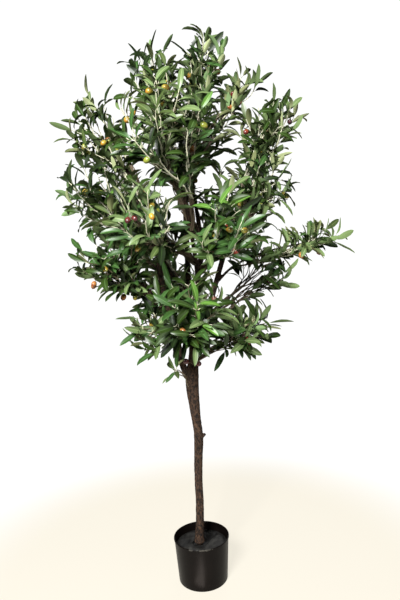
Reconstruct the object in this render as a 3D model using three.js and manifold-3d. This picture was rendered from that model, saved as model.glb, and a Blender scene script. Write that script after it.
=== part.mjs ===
// An artificial olive tree in a round plastic pot, in millimetres, +Z up.
// The origin is the centre of the pot's flat underside, and -Y is the front.
// The trunk stands in a socket in the pot's filling and forks into boughs; each bough or branch
// carries one mass of foliage, modelled as a closed, uneven solid.
import * as THREE from "three";
import { mergeVertices } from "three/addons/utils/BufferGeometryUtils.js";
import Module from "manifold-3d";

const wasm = await Module();
wasm.setup();

// ---------------------------------------------------------------- driving dimensions

const SEAT_GAP = 0.4; // clearance between two pieces that touch

const POT = {
  height: 150,
  rimRadius: 92.5,
  rimDepth: 7,
  wallTopRadius: 90,
  footRadius: 82,
  wall: 2.2,
  floor: 3,
  edge: 1.5, // the bevel along the lip and the foot
  segments: 40,
};

const FILL = {
  edgeHeight: 123, // where the filling meets the wall
  domeHeight: 127, // the slight dome round the trunk
  domeRadius: 38,
  socketRadius: 21,
  socketHeight: 118, // the floor of the trunk's socket
};

const FOOT = { x: -8, y: 0, z: FILL.socketHeight + SEAT_GAP };
const FOOT_TRIM = { length: 8, block: 160 }; // what is cut off square at the foot, and its cutter

const LIMB_SIDES = 8;
const BRANCH_SIDES = 6;
const RING_STEP = 60; // length of limb between two rings

// Centreline and radius of the trunk, [x, y, z, radius], from its flared foot to its tip.
const TRUNK_STATIONS = [
  [FOOT.x, FOOT.y, FOOT.z - FOOT_TRIM.length, 18.5],
  [-7, 0, 140, 16],
  [-3, 0, 175, 13],
  [1, 0, 274, 12],
  [1, 2, 372, 12.3],
  [7, 1, 450, 14.2],
  [9, -2, 490, 14.6],
  [7, -2, 525, 12.6],
  [2, 0, 590, 16],
  [-2, 1, 650, 20],
  [-3, 2, 690, 22],
  [4, 3, 735, 17],
  [10, 3, 790, 14.5],
  [9, 0, 950, 12.5],
];

// The stub left by a cut side shoot, on the right of the trunk.
const STUB = { from: [9, -2, 486], to: [32, -2, 502], radius: 6, tipRadius: 5 };

// Boughs: stations as above; each starts inside what carries it and ends inside its mass.
const BOUGHS = {
  left_bough: {
    carries: "left_shoulder",
    stations: [
      [-4, 1, 668, 13],
      [-24, -3, 713, 12.5],
      [-46, -8, 837, 11],
      [-81, -5, 1001, 9.5],
      [-101, 0, 1203, 8],
      [-165, 8, 1360, 6.5],
      [-265, 20, 1490, 5],
    ],
  },
  right_bough: {
    carries: "right_shoulder",
    stations: [
      [9, 2, 780, 10.5],
      [48, 2, 868, 10],
      [84, 0, 976, 9.5],
      [115, -4, 1071, 9],
      [146, -5, 1160, 8.5],
      [192, 0, 1290, 7.5],
      [262, -10, 1500, 5],
    ],
  },
  centre_bough: {
    carries: "top_tuft",
    stations: [
      [9, 0, 930, 10],
      [4, 6, 1003, 10],
      [4, 8, 1071, 9.5],
      [6, 10, 1150, 9],
      [8, 12, 1281, 8],
      [38, 12, 1440, 6.5],
      [75, 10, 1672, 4.5],
    ],
  },
  back_left_bough: {
    carries: "back_left_mass",
    stations: [
      [8, 2, 925, 9],
      [-18, 24, 985, 9],
      [-45, 42, 1022, 8.5],
      [-105, 105, 1120, 7],
      [-175, 185, 1240, 5],
    ],
  },
  front_bough: {
    carries: "upper_front_mass",
    stations: [
      [10, -2, 925, 9],
      [30, -12, 979, 9],
      [34, -28, 1030, 8.5],
      [20, -72, 1180, 7.5],
      [-25, -190, 1480, 5],
    ],
  },
  back_bough: {
    carries: "upper_back_mass",
    stations: [
      [9, 2, 915, 9],
      [30, 30, 985, 9],
      [48, 62, 1100, 8],
      [40, 105, 1260, 7],
      [5, 195, 1460, 5],
    ],
  },
};

// A branch follows its carrier's direction first: lift is how far, as a share of its span.
const BRANCH = { baseRadius: 5.5, tipRadius: 3.5, lift: 0.35, steps: 4 };

// Foliage masses: centre, half-sizes and the furthest leaf tips, which the mass swells out to.
// One with a branch is carried by that limb, from the height given; the others are carried by
// the limb that ends in them or passes through them.
const MASSES = {
  top_tuft: {
    at: [88, 0, 1662],
    half: [80, 95, 104],
    tips: [[91, -10, 1796], [166, -20, 1718]],
  },
  top_left_tuft: {
    at: [-72, -15, 1640],
    half: [88, 100, 104],
    tips: [[-84, -10, 1774], [-6, -15, 1752], [-150, -20, 1700]],
    on: "centre_bough",
    from: 1380,
  },
  top_right_tuft: {
    at: [205, 45, 1590],
    half: [76, 95, 86],
    tips: [[203, 30, 1700], [274, 30, 1640]],
    on: "centre_bough",
    from: 1290,
  },
  left_shoulder: {
    at: [-255, 10, 1478],
    half: [112, 135, 108],
    tips: [[-275, 0, 1650], [-196, 0, 1640], [-400, 0, 1503]],
  },
  right_shoulder: {
    at: [285, -5, 1480],
    half: [92, 135, 104],
    tips: [[386, 0, 1518], [384, 0, 1380], [345, 0, 1568]],
  },
  upper_front_mass: { at: [-45, -190, 1462], half: [140, 140, 150], tips: [[-120, -200, 1600]] },
  upper_back_mass: {
    at: [-10, 185, 1475],
    half: [158, 145, 160],
    tips: [[132, 190, 1570], [-120, 190, 1620], [138, 190, 1370]],
  },
  left_mass: {
    at: [-262, -60, 1290],
    half: [115, 135, 108],
    tips: [[-402, -50, 1330], [-380, -50, 1232]],
    on: "left_bough",
    from: 1080,
  },
  back_left_mass: { at: [-180, 195, 1215], half: [150, 140, 135], tips: [[-310, 240, 1270]] },
  right_mass: {
    at: [262, -40, 1288],
    half: [98, 130, 115],
    tips: [[354, -30, 1262], [345, -30, 1350]],
    on: "right_bough",
    from: 1120,
  },
  back_right_mass: {
    at: [150, 210, 1215],
    half: [148, 135, 135],
    tips: [[275, 250, 1270]],
    on: "back_bough",
    from: 1040,
  },
  front_mass: { at: [-90, -225, 1215], half: [130, 115, 125], on: "front_bough", from: 1020 },
  front_right_mass: { at: [100, -215, 1165], half: [110, 115, 132], on: "front_bough", from: 985 },
  low_left_mass: {
    at: [-235, -60, 1098],
    half: [122, 135, 100],
    tips: [[-372, -50, 1165], [-362, -50, 1092], [-285, -50, 1010], [-205, -50, 965]],
    on: "left_bough",
    from: 870,
  },
  right_tip_pad: {
    at: [402, -25, 1114],
    half: [102, 85, 52],
    tips: [[525, -20, 1116], [478, -20, 1190], [345, -20, 1176]],
    on: "right_bough",
    from: 975,
  },
  low_right_mass: {
    at: [240, -20, 1022],
    half: [108, 130, 105],
    tips: [[354, -20, 936], [420, -20, 1028]],
    on: "right_bough",
    from: 850,
  },
  low_front_mass: { at: [5, -155, 930], half: [125, 112, 140], on: "trunk", from: 790 },
  low_back_mass: { at: [-66, 180, 975], half: [142, 138, 132], on: "trunk", from: 830 },
  skirt_left_mass: {
    at: [-120, -30, 852],
    half: [94, 115, 112],
    tips: [[-215, -30, 805], [-212, -30, 925], [-160, -30, 765]],
  },
  skirt_right_mass: {
    at: [175, -40, 860],
    half: [110, 110, 90],
    tips: [[330, -20, 925], [306, -20, 872], [203, -30, 770], [66, -50, 745]],
    on: "trunk",
    from: 730,
  },
  skirt_low_tuft: {
    at: [-58, -45, 726],
    half: [50, 58, 44],
    tips: [[-55, -40, 672], [-128, -50, 728]],
  },
};

const BROAD_MASS = 125; // a mass wider than this to a side is made of finer facets
const LUMP = { share: 0.07, waves: 5, slowest: 2.6, quickening: 1.1, scatter: 2.4 };
const TIP_SPREAD = 0.26; // how wide the swelling towards a leaf tip is, in radians

// ---------------------------------------------------------------- materials

const FINISH = {
  pot: { color: 0x1f1c1b, roughness: 0.35, metalness: 0 },
  filling: { color: 0x2c2b29, roughness: 0.8, metalness: 0 },
  bark: { color: 0x55463a, roughness: 0.9, metalness: 0 },
  foliage: { color: 0x35502c, roughness: 0.6, metalness: 0 },
};
const materialOf = (finish) => new THREE.MeshStandardMaterial(FINISH[finish]);

// ---------------------------------------------------------------- solids

// A geometry with its shared vertices merged.
function mergedGeometry(geometry) {
  const bare = new THREE.BufferGeometry();
  bare.setAttribute("position", geometry.getAttribute("position"));
  bare.setIndex(geometry.getIndex());
  return mergeVertices(bare, 1e-3);
}

// A closed geometry as a solid that can be cut and joined.
function solidOf(geometry) {
  const merged = mergedGeometry(geometry);
  return new wasm.Manifold(
    new wasm.Mesh({
      numProp: 3,
      vertProperties: new Float32Array(merged.attributes.position.array),
      triVerts: new Uint32Array(merged.index.array),
    }),
  );
}

// The largest piece of a solid as a geometry.
function geometryOf(solid) {
  const largest = solid.decompose().sort((a, b) => b.volume() - a.volume())[0];
  const mesh = largest.getMesh();
  const geometry = new THREE.BufferGeometry();
  geometry.setAttribute("position", new THREE.BufferAttribute(mesh.vertProperties, 3));
  geometry.setIndex(new THREE.BufferAttribute(mesh.triVerts, 1));
  geometry.computeVertexNormals();
  return geometry;
}

// A tapering round limb: a cylinder laid along the smooth curve through its stations. With an
// extra, the limb is that much fatter and longer at both ends.
function limbSolid(stations, extra = 0) {
  const centreline = new THREE.CatmullRomCurve3(
    stations.map(([x, y, z]) => new THREE.Vector3(x, y, z)),
  );
  const rings = Math.max(stations.length - 1, Math.round(centreline.getLength() / RING_STEP));
  const sides = stations[0][3] > BRANCH.baseRadius ? LIMB_SIDES : BRANCH_SIDES;
  const geometry = new THREE.CylinderGeometry(1, 1, 1, sides, rings);
  const side = new THREE.Vector3(0, 1, 0);
  const place = geometry.attributes.position;
  for (let i = 0; i < place.count; i++) {
    const t = THREE.MathUtils.clamp(place.getY(i) + 0.5, 0, 1);
    const along = centreline.getTangent(t);
    const across = new THREE.Vector3().crossVectors(side, along).normalize();
    const behind = new THREE.Vector3().crossVectors(across, along);
    const radius = radiusAt(stations, t) + extra;
    const past = t === 1 ? extra : t === 0 ? -extra : 0;
    const point = centreline
      .getPoint(t)
      .addScaledVector(along, past)
      .addScaledVector(across, place.getX(i) * radius)
      .addScaledVector(behind, place.getZ(i) * radius);
    place.setXYZ(i, point.x, point.y, point.z);
  }
  return solidOf(geometry);
}

// The limb's radius at a share of its stations, straight between two of them.
function radiusAt(stations, t) {
  const place = t * (stations.length - 1);
  const before = Math.min(Math.floor(place), stations.length - 2);
  return THREE.MathUtils.lerp(stations[before][3], stations[before + 1][3], place - before);
}

// The point of a limb's centreline at a height, and the limb's direction there.
function pointAtHeight(stations, height) {
  const above = stations.findIndex(([, , z]) => z >= height);
  const [low, high] = [stations[above - 1], stations[above]];
  const share = (height - low[2]) / (high[2] - low[2]);
  const point = new THREE.Vector3(...low.slice(0, 3));
  const end = new THREE.Vector3(...high.slice(0, 3));
  const direction = end.clone().sub(point).normalize();
  return { point: point.lerp(end, share), direction };
}

// Stations of a branch that leaves a limb along it and bends out to a mass's centre.
function branchStations(carrier, height, centre) {
  const { point, direction } = pointAtHeight(carrier, height);
  const bend = point.clone().addScaledVector(direction, point.distanceTo(centre) * BRANCH.lift);
  const curve = new THREE.QuadraticBezierCurve3(point, bend, centre);
  return curve.getPoints(BRANCH.steps).map((p, i) => {
    const radius = THREE.MathUtils.lerp(BRANCH.baseRadius, BRANCH.tipRadius, i / BRANCH.steps);
    return [p.x, p.y, p.z, radius];
  });
}

// How far an ellipsoid reaches from its centre in a direction.
function ellipsoidReach([a, b, c], d) {
  return 1 / Math.hypot(d.x / a, d.y / b, d.z / c);
}

// A share of the radius that rises and falls over a mass, different for each number: a sum of
// waves that run across the mass in scattered directions, each quicker and weaker than the last.
function lumpiness(d, number) {
  let sum = 0;
  for (let wave = 1; wave <= LUMP.waves; wave++) {
    const turn = LUMP.scatter * (number + wave);
    const axis = new THREE.Vector3(Math.cos(turn), Math.sin(turn), Math.sin(number + wave));
    const pace = LUMP.slowest + LUMP.quickening * (wave - 1);
    sum += Math.sin(d.dot(axis.normalize()) * pace + turn) / wave;
  }
  return LUMP.share * sum;
}

// A mass of foliage: an uneven ellipsoid, flat where it meets a neighbouring mass.
function massSolid(name, extra = 0) {
  const { at, half, tips = [] } = MASSES[name];
  const centre = new THREE.Vector3(...at);
  const number = Object.keys(MASSES).indexOf(name);
  const walls = Object.entries(MASSES)
    .filter(([other]) => other !== name)
    .map(([, neighbour]) => {
      const towards = new THREE.Vector3(...neighbour.at).sub(centre);
      const apart = towards.length();
      towards.normalize();
      const own = ellipsoidReach(half, towards);
      const others = ellipsoidReach(neighbour.half, towards);
      const share = (apart * apart + own * own - others * others) / (2 * apart);
      return { towards, distance: share - SEAT_GAP / 2 };
    });
  const detail = Math.max(...half) > BROAD_MASS ? 3 : 2;
  const geometry = mergedGeometry(new THREE.IcosahedronGeometry(1, detail));
  const place = geometry.attributes.position;
  const directions = Array.from({ length: place.count }, (_, i) =>
    new THREE.Vector3().fromBufferAttribute(place, i).normalize(),
  );
  const swellings = tips.map((tip) => new THREE.Vector3(...tip).sub(centre));
  // The direction nearest to each leaf tip is turned to point at it.
  for (const towards of swellings) {
    directions
      .reduce((best, d) => (d.angleTo(towards) < best.angleTo(towards) ? d : best))
      .copy(towards)
      .normalize();
  }
  directions.forEach((d, i) => {
    let reach = ellipsoidReach(half, d) * (1 + lumpiness(d, number));
    for (const towards of swellings) {
      const swell = Math.exp(-((d.angleTo(towards) / TIP_SPREAD) ** 2));
      reach += Math.max(0, towards.length() - reach) * swell;
    }
    for (const wall of walls) {
      const facing = d.dot(wall.towards);
      if (facing > 1e-6) reach = Math.min(reach, wall.distance / facing);
    }
    const point = d.clone().multiplyScalar(reach + extra).add(centre);
    place.setXYZ(i, point.x, point.y, point.z);
  });
  return solidOf(geometry);
}

// A round piece turned from its profile of [radius, height] points.
function turned(profile, segments) {
  const points = profile.map(([r, z]) => new THREE.Vector2(r, z));
  return new THREE.LatheGeometry(points, segments).rotateX(Math.PI / 2);
}

// ---------------------------------------------------------------- sub-parts

// A thin tapered pot with a flat foot and a rolled lip round its mouth.
function potGeometry() {
  const { height, rimRadius, rimDepth, wallTopRadius, footRadius, wall, floor, edge } = POT;
  return turned(
    [
      [0, 0],
      [footRadius - edge, 0],
      [footRadius, edge],
      [wallTopRadius, height - rimDepth],
      [rimRadius, height - rimDepth + edge],
      [rimRadius, height - edge],
      [rimRadius - edge, height],
      [wallTopRadius - wall, height - edge],
      [footRadius - wall, floor],
      [0, floor],
    ],
    POT.segments,
  );
}

// The hard filling that weighs the pot down, domed round the trunk's socket.
function fillingSolid() {
  const { edgeHeight, domeHeight, domeRadius, socketRadius, socketHeight } = FILL;
  const bottom = POT.floor + SEAT_GAP;
  // The pot's inner wall leans out as it rises; the filling stays clear of it by the seat gap.
  const innerRadius = (z) =>
    THREE.MathUtils.mapLinear(
      z,
      POT.floor,
      POT.height,
      POT.footRadius - POT.wall,
      POT.wallTopRadius - POT.wall,
    ) - SEAT_GAP;
  const dome = turned(
    [
      [0, bottom],
      [innerRadius(bottom), bottom],
      [innerRadius(edgeHeight), edgeHeight],
      [domeRadius, domeHeight],
      [0, domeHeight],
    ],
    POT.segments,
  );
  const depth = POT.height - socketHeight;
  const socket = new THREE.CylinderGeometry(socketRadius, socketRadius, depth, LIMB_SIDES * 3)
    .rotateX(Math.PI / 2)
    .translate(FOOT.x, FOOT.y, socketHeight + depth / 2);
  return solidOf(dome).subtract(solidOf(socket));
}

// The trunk with the stub of its cut side shoot, trimmed flat at its foot.
function trunkSolid(extra = 0) {
  const { from, to, radius, tipRadius } = STUB;
  const middle = from.map((start, axis) => (start + to[axis]) / 2);
  const stub = limbSolid([[...from, radius], [...middle, radius], [...to, tipRadius]], extra);
  const { block } = FOOT_TRIM;
  const trim = new THREE.BoxGeometry(block, block, block).translate(0, 0, FOOT.z - block / 2);
  return limbSolid(TRUNK_STATIONS, extra).add(stub).subtract(solidOf(trim));
}

// Every limb above the trunk, by name: its stations and the mass that it ends in.
function limbPlans() {
  const stationsOf = { trunk: TRUNK_STATIONS };
  const plans = {};
  for (const [name, { carries, stations }] of Object.entries(BOUGHS)) {
    stationsOf[name] = stations;
    plans[name] = { stations, carries };
  }
  for (const [mass, { at, on, from }] of Object.entries(MASSES)) {
    if (!on) continue;
    const stations = branchStations(stationsOf[on], from, new THREE.Vector3(...at));
    plans[`${mass}_branch`] = { stations, carries: mass };
  }
  return plans;
}

// Cuts each limb where it leaves its carrier and where it enters its mass, and each mass round
// the limbs that pass it.
function treeSolids() {
  const plans = limbPlans();
  const solids = { trunk: trunkSolid() };
  const cutters = [trunkSolid(SEAT_GAP)];
  for (const [name, { stations, carries }] of Object.entries(plans)) {
    let limb = limbSolid(stations).subtract(massSolid(carries, SEAT_GAP));
    for (const cutter of cutters) limb = limb.subtract(cutter);
    solids[name] = limb;
    cutters.push(limbSolid(stations, SEAT_GAP));
  }
  for (const mass of Object.keys(MASSES)) {
    let solid = massSolid(mass);
    Object.values(plans)
      .filter(({ carries }) => carries !== mass)
      .forEach(({ stations }) => {
        solid = solid.subtract(limbSolid(stations, SEAT_GAP));
      });
    solids[mass] = solid.subtract(trunkSolid(SEAT_GAP));
  }
  return solids;
}

// ---------------------------------------------------------------- the assembly

const tree = new THREE.Group();

function addPiece(name, geometry, finish) {
  const mesh = new THREE.Mesh(geometry, materialOf(finish));
  mesh.name = name;
  tree.add(mesh);
}

addPiece("pot", potGeometry(), "pot");
addPiece("pot_filling", geometryOf(fillingSolid()), "filling");
for (const [name, solid] of Object.entries(treeSolids())) {
  addPiece(name, geometryOf(solid), name in MASSES ? "foliage" : "bark");
}

export default tree;
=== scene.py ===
"""An artificial olive tree in a pot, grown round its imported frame."""

import math

import bmesh
import bpy
import numpy as np
from bpy.props import FloatProperty, FloatVectorProperty, IntProperty, PointerProperty
from bpy.types import Operator, Panel, PropertyGroup
from mathutils import Matrix, Vector
from mathutils.bvhtree import BVHTree


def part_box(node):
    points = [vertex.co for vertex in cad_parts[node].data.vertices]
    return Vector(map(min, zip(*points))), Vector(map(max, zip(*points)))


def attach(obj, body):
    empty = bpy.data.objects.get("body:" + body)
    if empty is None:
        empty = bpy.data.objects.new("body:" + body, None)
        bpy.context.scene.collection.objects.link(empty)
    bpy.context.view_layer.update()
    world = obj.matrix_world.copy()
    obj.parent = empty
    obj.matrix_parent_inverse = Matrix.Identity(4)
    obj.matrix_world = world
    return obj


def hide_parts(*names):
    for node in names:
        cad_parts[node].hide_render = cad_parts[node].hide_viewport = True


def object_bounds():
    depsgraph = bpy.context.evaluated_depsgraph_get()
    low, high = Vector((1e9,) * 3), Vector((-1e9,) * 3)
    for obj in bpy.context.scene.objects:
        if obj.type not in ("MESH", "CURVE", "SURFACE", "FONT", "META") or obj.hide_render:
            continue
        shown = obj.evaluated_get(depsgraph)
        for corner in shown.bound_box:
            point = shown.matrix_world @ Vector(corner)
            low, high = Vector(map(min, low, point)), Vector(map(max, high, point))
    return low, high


bl_info = {
    "name": "Potted olive tree",
    "version": (1, 0, 0),
    "blender": (4, 5, 0),
    "location": "View3D > Sidebar > Olive tree",
    "description": "Builds an artificial olive tree in a pot round its packed frame",
    "category": "Object",
}

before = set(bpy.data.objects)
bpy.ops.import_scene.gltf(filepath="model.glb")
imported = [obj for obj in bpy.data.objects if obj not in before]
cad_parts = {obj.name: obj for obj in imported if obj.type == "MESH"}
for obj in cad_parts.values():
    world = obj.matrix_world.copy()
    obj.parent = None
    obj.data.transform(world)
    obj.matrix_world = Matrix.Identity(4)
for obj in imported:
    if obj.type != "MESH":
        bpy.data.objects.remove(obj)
CAD_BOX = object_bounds()

MM = 0.001
UP = np.array([0.0, 0.0, 1.0])
SIDEWAYS = np.array([1.0, 0.0, 0.0])

# What carries each limb of the tree, from the trunk outwards.
CARRIERS = {
    "trunk": None,
    "left_bough": "trunk",
    "right_bough": "trunk",
    "centre_bough": "trunk",
    "back_left_bough": "trunk",
    "front_bough": "trunk",
    "back_bough": "trunk",
    "top_left_tuft_branch": "centre_bough",
    "top_right_tuft_branch": "centre_bough",
    "left_mass_branch": "left_bough",
    "right_mass_branch": "right_bough",
    "back_right_mass_branch": "back_bough",
    "front_mass_branch": "front_bough",
    "front_right_mass_branch": "front_bough",
    "low_left_mass_branch": "left_bough",
    "right_tip_pad_branch": "right_bough",
    "low_right_mass_branch": "right_bough",
    "low_front_mass_branch": "trunk",
    "low_back_mass_branch": "trunk",
    "skirt_right_mass_branch": "trunk",
}

# The limb that each mass of foliage grows from, where that isn't the mass's own branch.
BOUGH_OF = {
    "top_tuft": "centre_bough",
    "left_shoulder": "left_bough",
    "right_shoulder": "right_bough",
    "back_left_mass": "back_left_bough",
    "upper_front_mass": "front_bough",
    "upper_back_mass": "back_bough",
    "skirt_left_mass": "left_bough",
    "skirt_low_tuft": "trunk",
}


# ---------------------------------------------------------------- colours and nodes


def colour(code):
    """An sRGB hex colour as linear red, green, blue and full alpha."""
    channels = [int(code[i : i + 2], 16) / 255 for i in (1, 3, 5)]
    linear = [c / 12.92 if c <= 0.04045 else ((c + 0.055) / 1.055) ** 2.4 for c in channels]
    return (*linear, 1.0)


def add_node(tree, kind, inputs=None, **settings):
    """Adds a node, makes its settings, and feeds its inputs with values or other sockets."""
    made = tree.nodes.new(kind)
    for name, value in settings.items():
        setattr(made, name, value)
    for name, value in (inputs or {}).items():
        if isinstance(value, bpy.types.NodeSocket):
            tree.links.new(value, made.inputs[name])
        else:
            made.inputs[name].default_value = value
    return made


def principled(name, sockets):
    """A material whose Principled shader has these sockets set, its node tree and its shader."""
    material = bpy.data.materials.new(name)
    material.use_nodes = True
    tree = material.node_tree
    shader = tree.nodes["Principled BSDF"]
    for socket, value in sockets.items():
        shader.inputs[socket].default_value = value
    return material, tree, shader


# ---------------------------------------------------------------- modelling helpers


def deselect_all():
    """Leaves edit mode and deselects every object."""
    if bpy.context.object and bpy.context.object.mode != "OBJECT":
        bpy.ops.object.mode_set(mode="OBJECT")
    bpy.ops.object.select_all(action="DESELECT")


def activate(*pieces):
    """Selects these objects only, the first one active."""
    deselect_all()
    for piece in pieces:
        piece.select_set(True)
    bpy.context.view_layer.objects.active = pieces[0]


def finish_piece(piece, name, materials, replaced, smooth_angle=40):
    """Names a piece, gives it its materials and ties it to the frame."""
    activate(piece)
    bpy.ops.object.shade_smooth_by_angle(angle=math.radians(smooth_angle))
    piece.name = piece.data.name = name
    for material in materials:
        piece.data.materials.append(material)
    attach(piece, "root")
    if replaced:
        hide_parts(*replaced)
    deselect_all()
    return piece


def mesh_object(name, points, faces, marks=None):
    """A mesh object from arrays, its faces numbered with the materials that marks gives."""
    mesh = bpy.data.meshes.new(name)
    mesh.from_pydata(points, [], faces)
    if marks is not None:
        mesh.polygons.foreach_set("material_index", np.asarray(marks, dtype=np.int32))
    mesh.update()
    piece = bpy.data.objects.new(name, mesh)
    bpy.context.collection.objects.link(piece)
    return piece


def apply_modifier(piece, kind, **settings):
    """Adds a modifier to the active piece and applies it."""
    modifier = piece.modifiers.new(kind.title(), kind)
    for name, value in settings.items():
        setattr(modifier, name, value)
    bpy.ops.object.modifier_apply(modifier=modifier.name)


def select_corners(piece, chosen):
    """In edit mode, selects only the corner points whose place passes the test."""
    mesh = bmesh.from_edit_mesh(piece.data)
    mesh.select_mode = {"VERT"}
    for corner in mesh.verts:
        corner.select = bool(chosen(corner.co))
    mesh.select_flush(True)
    mesh.select_flush(False)
    bmesh.update_edit_mesh(piece.data)


def unit(vectors):
    """Vectors scaled to length 1."""
    vectors = np.asarray(vectors, dtype=float)
    return vectors / np.maximum(np.linalg.norm(vectors, axis=-1, keepdims=True), 1e-12)


def across(directions):
    """For each direction, a direction square to it."""
    helper = np.where(np.abs(directions[..., 2:3]) < 0.9, UP, SIDEWAYS)  # far from parallel
    return unit(np.cross(directions, helper))


def path_lengths(path):
    """The length of a path up to each of its points."""
    return np.concatenate([[0], np.cumsum(np.linalg.norm(np.diff(path, axis=0), axis=1))])


def share_of(value, start, span):
    """How far a value has come over a span, from 0 at its start to 1 at its end."""
    return min(max((value - start) / span, 0), 1)


def curve_between(start, start_way, end, end_way, reach, count):
    """Points of a smooth curve that leaves one point and arrives at another in given ways."""
    span = np.linalg.norm(end - start)
    controls = [start, start + start_way * span * reach, end - end_way * span * reach, end]
    t = np.linspace(0, 1, count)[:, None]
    weights = [(1 - t) ** 3, 3 * t * (1 - t) ** 2, 3 * t**2 * (1 - t), t**3]
    return sum(w * p for w, p in zip(weights, controls))


def tube(path, radii, sides):
    """Corner points and faces of a closed round tube along a path."""
    ways = unit(np.gradient(path, axis=0))
    side = across(ways[0])
    corners = [path[0]]
    turns = np.linspace(0, 2 * math.pi, sides, endpoint=False)
    for place, way, radius in zip(path, ways, radii):
        side = unit(side - way * np.dot(side, way))
        other = np.cross(way, side)
        corners.extend(place + radius * (math.cos(a) * side + math.sin(a) * other) for a in turns)
    corners.append(path[-1])
    last = len(corners) - 1
    faces = []
    for k in range(sides):
        after = (k + 1) % sides
        faces.append((0, 1 + after, 1 + k))
        for ring in range(len(path) - 1):
            low, high = 1 + ring * sides, 1 + (ring + 1) * sides
            faces.append((low + k, low + after, high + after, high + k))
        faces.append((last, last - sides + k, last - sides + after))
    return corners, faces


def gathered(parts):
    """Several lots of corner points and faces as one."""
    points, faces = [], []
    for part_points, part_faces in parts:
        start = len(points)
        points.extend(part_points)
        faces.extend(tuple(start + corner for corner in face) for face in part_faces)
    return points, faces


# ---------------------------------------------------------------- what the frame says


def node_arrays(name):
    """A CAD node's corner points and triangles."""
    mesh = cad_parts[name].data
    points = np.empty(len(mesh.vertices) * 3)
    mesh.vertices.foreach_get("co", points)
    corners = np.empty(len(mesh.loops), dtype=np.int32)
    mesh.loops.foreach_get("vertex_index", corners)
    return points.reshape(-1, 3), corners.reshape(-1, 3)


def cut_outline(corners, height):
    """Area and centre of the outline where a level plane cuts a closed mesh of triangles."""
    above = corners[:, :, 2] > height
    cut = above.any(axis=1) & ~above.all(axis=1)
    corners, above = corners[cut], above[cut]
    one_above = above.sum(axis=1) == 1
    lone = np.where(one_above, above.argmax(axis=1), (~above).argmax(axis=1))
    order = (lone[:, None] + np.arange(3)) % 3
    a, b, c = np.take_along_axis(corners, order[:, :, None], axis=1).transpose(1, 0, 2)
    towards_b = a + (b - a) * ((height - a[:, 2]) / (b[:, 2] - a[:, 2]))[:, None]
    towards_c = a + (c - a) * ((height - a[:, 2]) / (c[:, 2] - a[:, 2]))[:, None]
    start = np.where(one_above[:, None], towards_b, towards_c)[:, :2]
    end = np.where(one_above[:, None], towards_c, towards_b)[:, :2]
    wedges = start[:, 0] * end[:, 1] - start[:, 1] * end[:, 0]
    area = wedges.sum() / 2
    centre = ((start + end) * wedges[:, None]).sum(axis=0) / (6 * area)
    return abs(area), centre


SLICE = 8 * MM  # between two slices of a limb
FEWEST_SLICES = 6
END_SHARE = 0.1  # the share of a limb's height that gives the place of its foot or tip
# An end's slice is whole if it has this share of the area of the next but one.
WHOLE_FOOT, WHOLE_TIP = 0.9, 0.75
STEADY = 9  # slices that a running median takes together, which smooths a stub away
STUB_EXCESS = 1.15  # a slice this many times its steady area goes through a stub


def running(values, width, rule):
    """Each value replaced by a rule over its neighbours."""
    half = width // 2
    return np.array(
        [rule(values[max(0, i - half) : i + half + 1], axis=0) for i in range(len(values))]
    )


def limb_slices(name):
    """A limb's centreline and radii, from slices of its node square to its length."""
    points, triangles = node_arrays(name)
    heights = points[:, 2]
    low, high = heights.min(), heights.max()
    foot = points[heights < low + END_SHARE * (high - low)].mean(axis=0)
    tip = points[heights > high - END_SHARE * (high - low)].mean(axis=0)
    axis = unit(tip - foot)
    side = across(axis)
    turn = np.stack([side, np.cross(axis, side), axis], axis=1)
    corners = (points @ turn)[triangles]
    start, end = corners[:, :, 2].min(), corners[:, :, 2].max()
    levels = np.arange(start + SLICE / 2, end, min(SLICE, (end - start) / FEWEST_SLICES))
    cuts = [cut_outline(corners, level) for level in levels]
    areas = np.array([area for area, _ in cuts])
    centres = np.array([[*centre, level] for (_, centre), level in zip(cuts, levels)])
    # The ends are cut aslant by what the limb meets, so their slices are only part of it.
    ends = range(len(areas))
    first = next(i for i in ends[:-2] if areas[i] > WHOLE_FOOT * areas[i + 2])
    last = next(i for i in ends[:1:-1] if areas[i] > WHOLE_TIP * areas[i - 2])
    areas, centres = areas[first : last + 1], centres[first : last + 1]
    steady_areas = running(areas, STEADY, np.median)
    stub = areas > STUB_EXCESS * steady_areas
    if name == "trunk":
        stub[:STEADY] = False  # its flared foot
    areas = np.where(stub, steady_areas, areas)
    centres[stub] = running(centres, STEADY, np.median)[stub]
    slope = unit(np.gradient(centres, axis=0))[:, 2]
    return centres @ turn.T, np.sqrt(areas * slope / math.pi)


FEWEST_POINTS = 4  # of a path


def resampled(path, radii, step):
    """A path and its radii with points an even step apart."""
    lengths = path_lengths(path)
    at = np.linspace(0, lengths[-1], max(FEWEST_POINTS, round(lengths[-1] / step)))
    spaced = np.stack([np.interp(at, lengths, path[:, k]) for k in range(3)], axis=1)
    return spaced, np.interp(at, lengths, radii)


def mass_centre(name):
    """The middle of a mass of foliage."""
    return node_arrays(name)[0].mean(axis=0)


LIMB_STEP = 8 * MM
ROOTING = {"trunk": 45 * MM, "branch": 22 * MM}  # how far below its fork a limb starts inside
ROOT_SWELL = 1.1  # the radius there, as a share of the radius at the fork
SMOOTHING = 7  # points that a running mean takes together
TWIG_END = 2.2 * MM  # a limb's radius where it ends inside its mass


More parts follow.
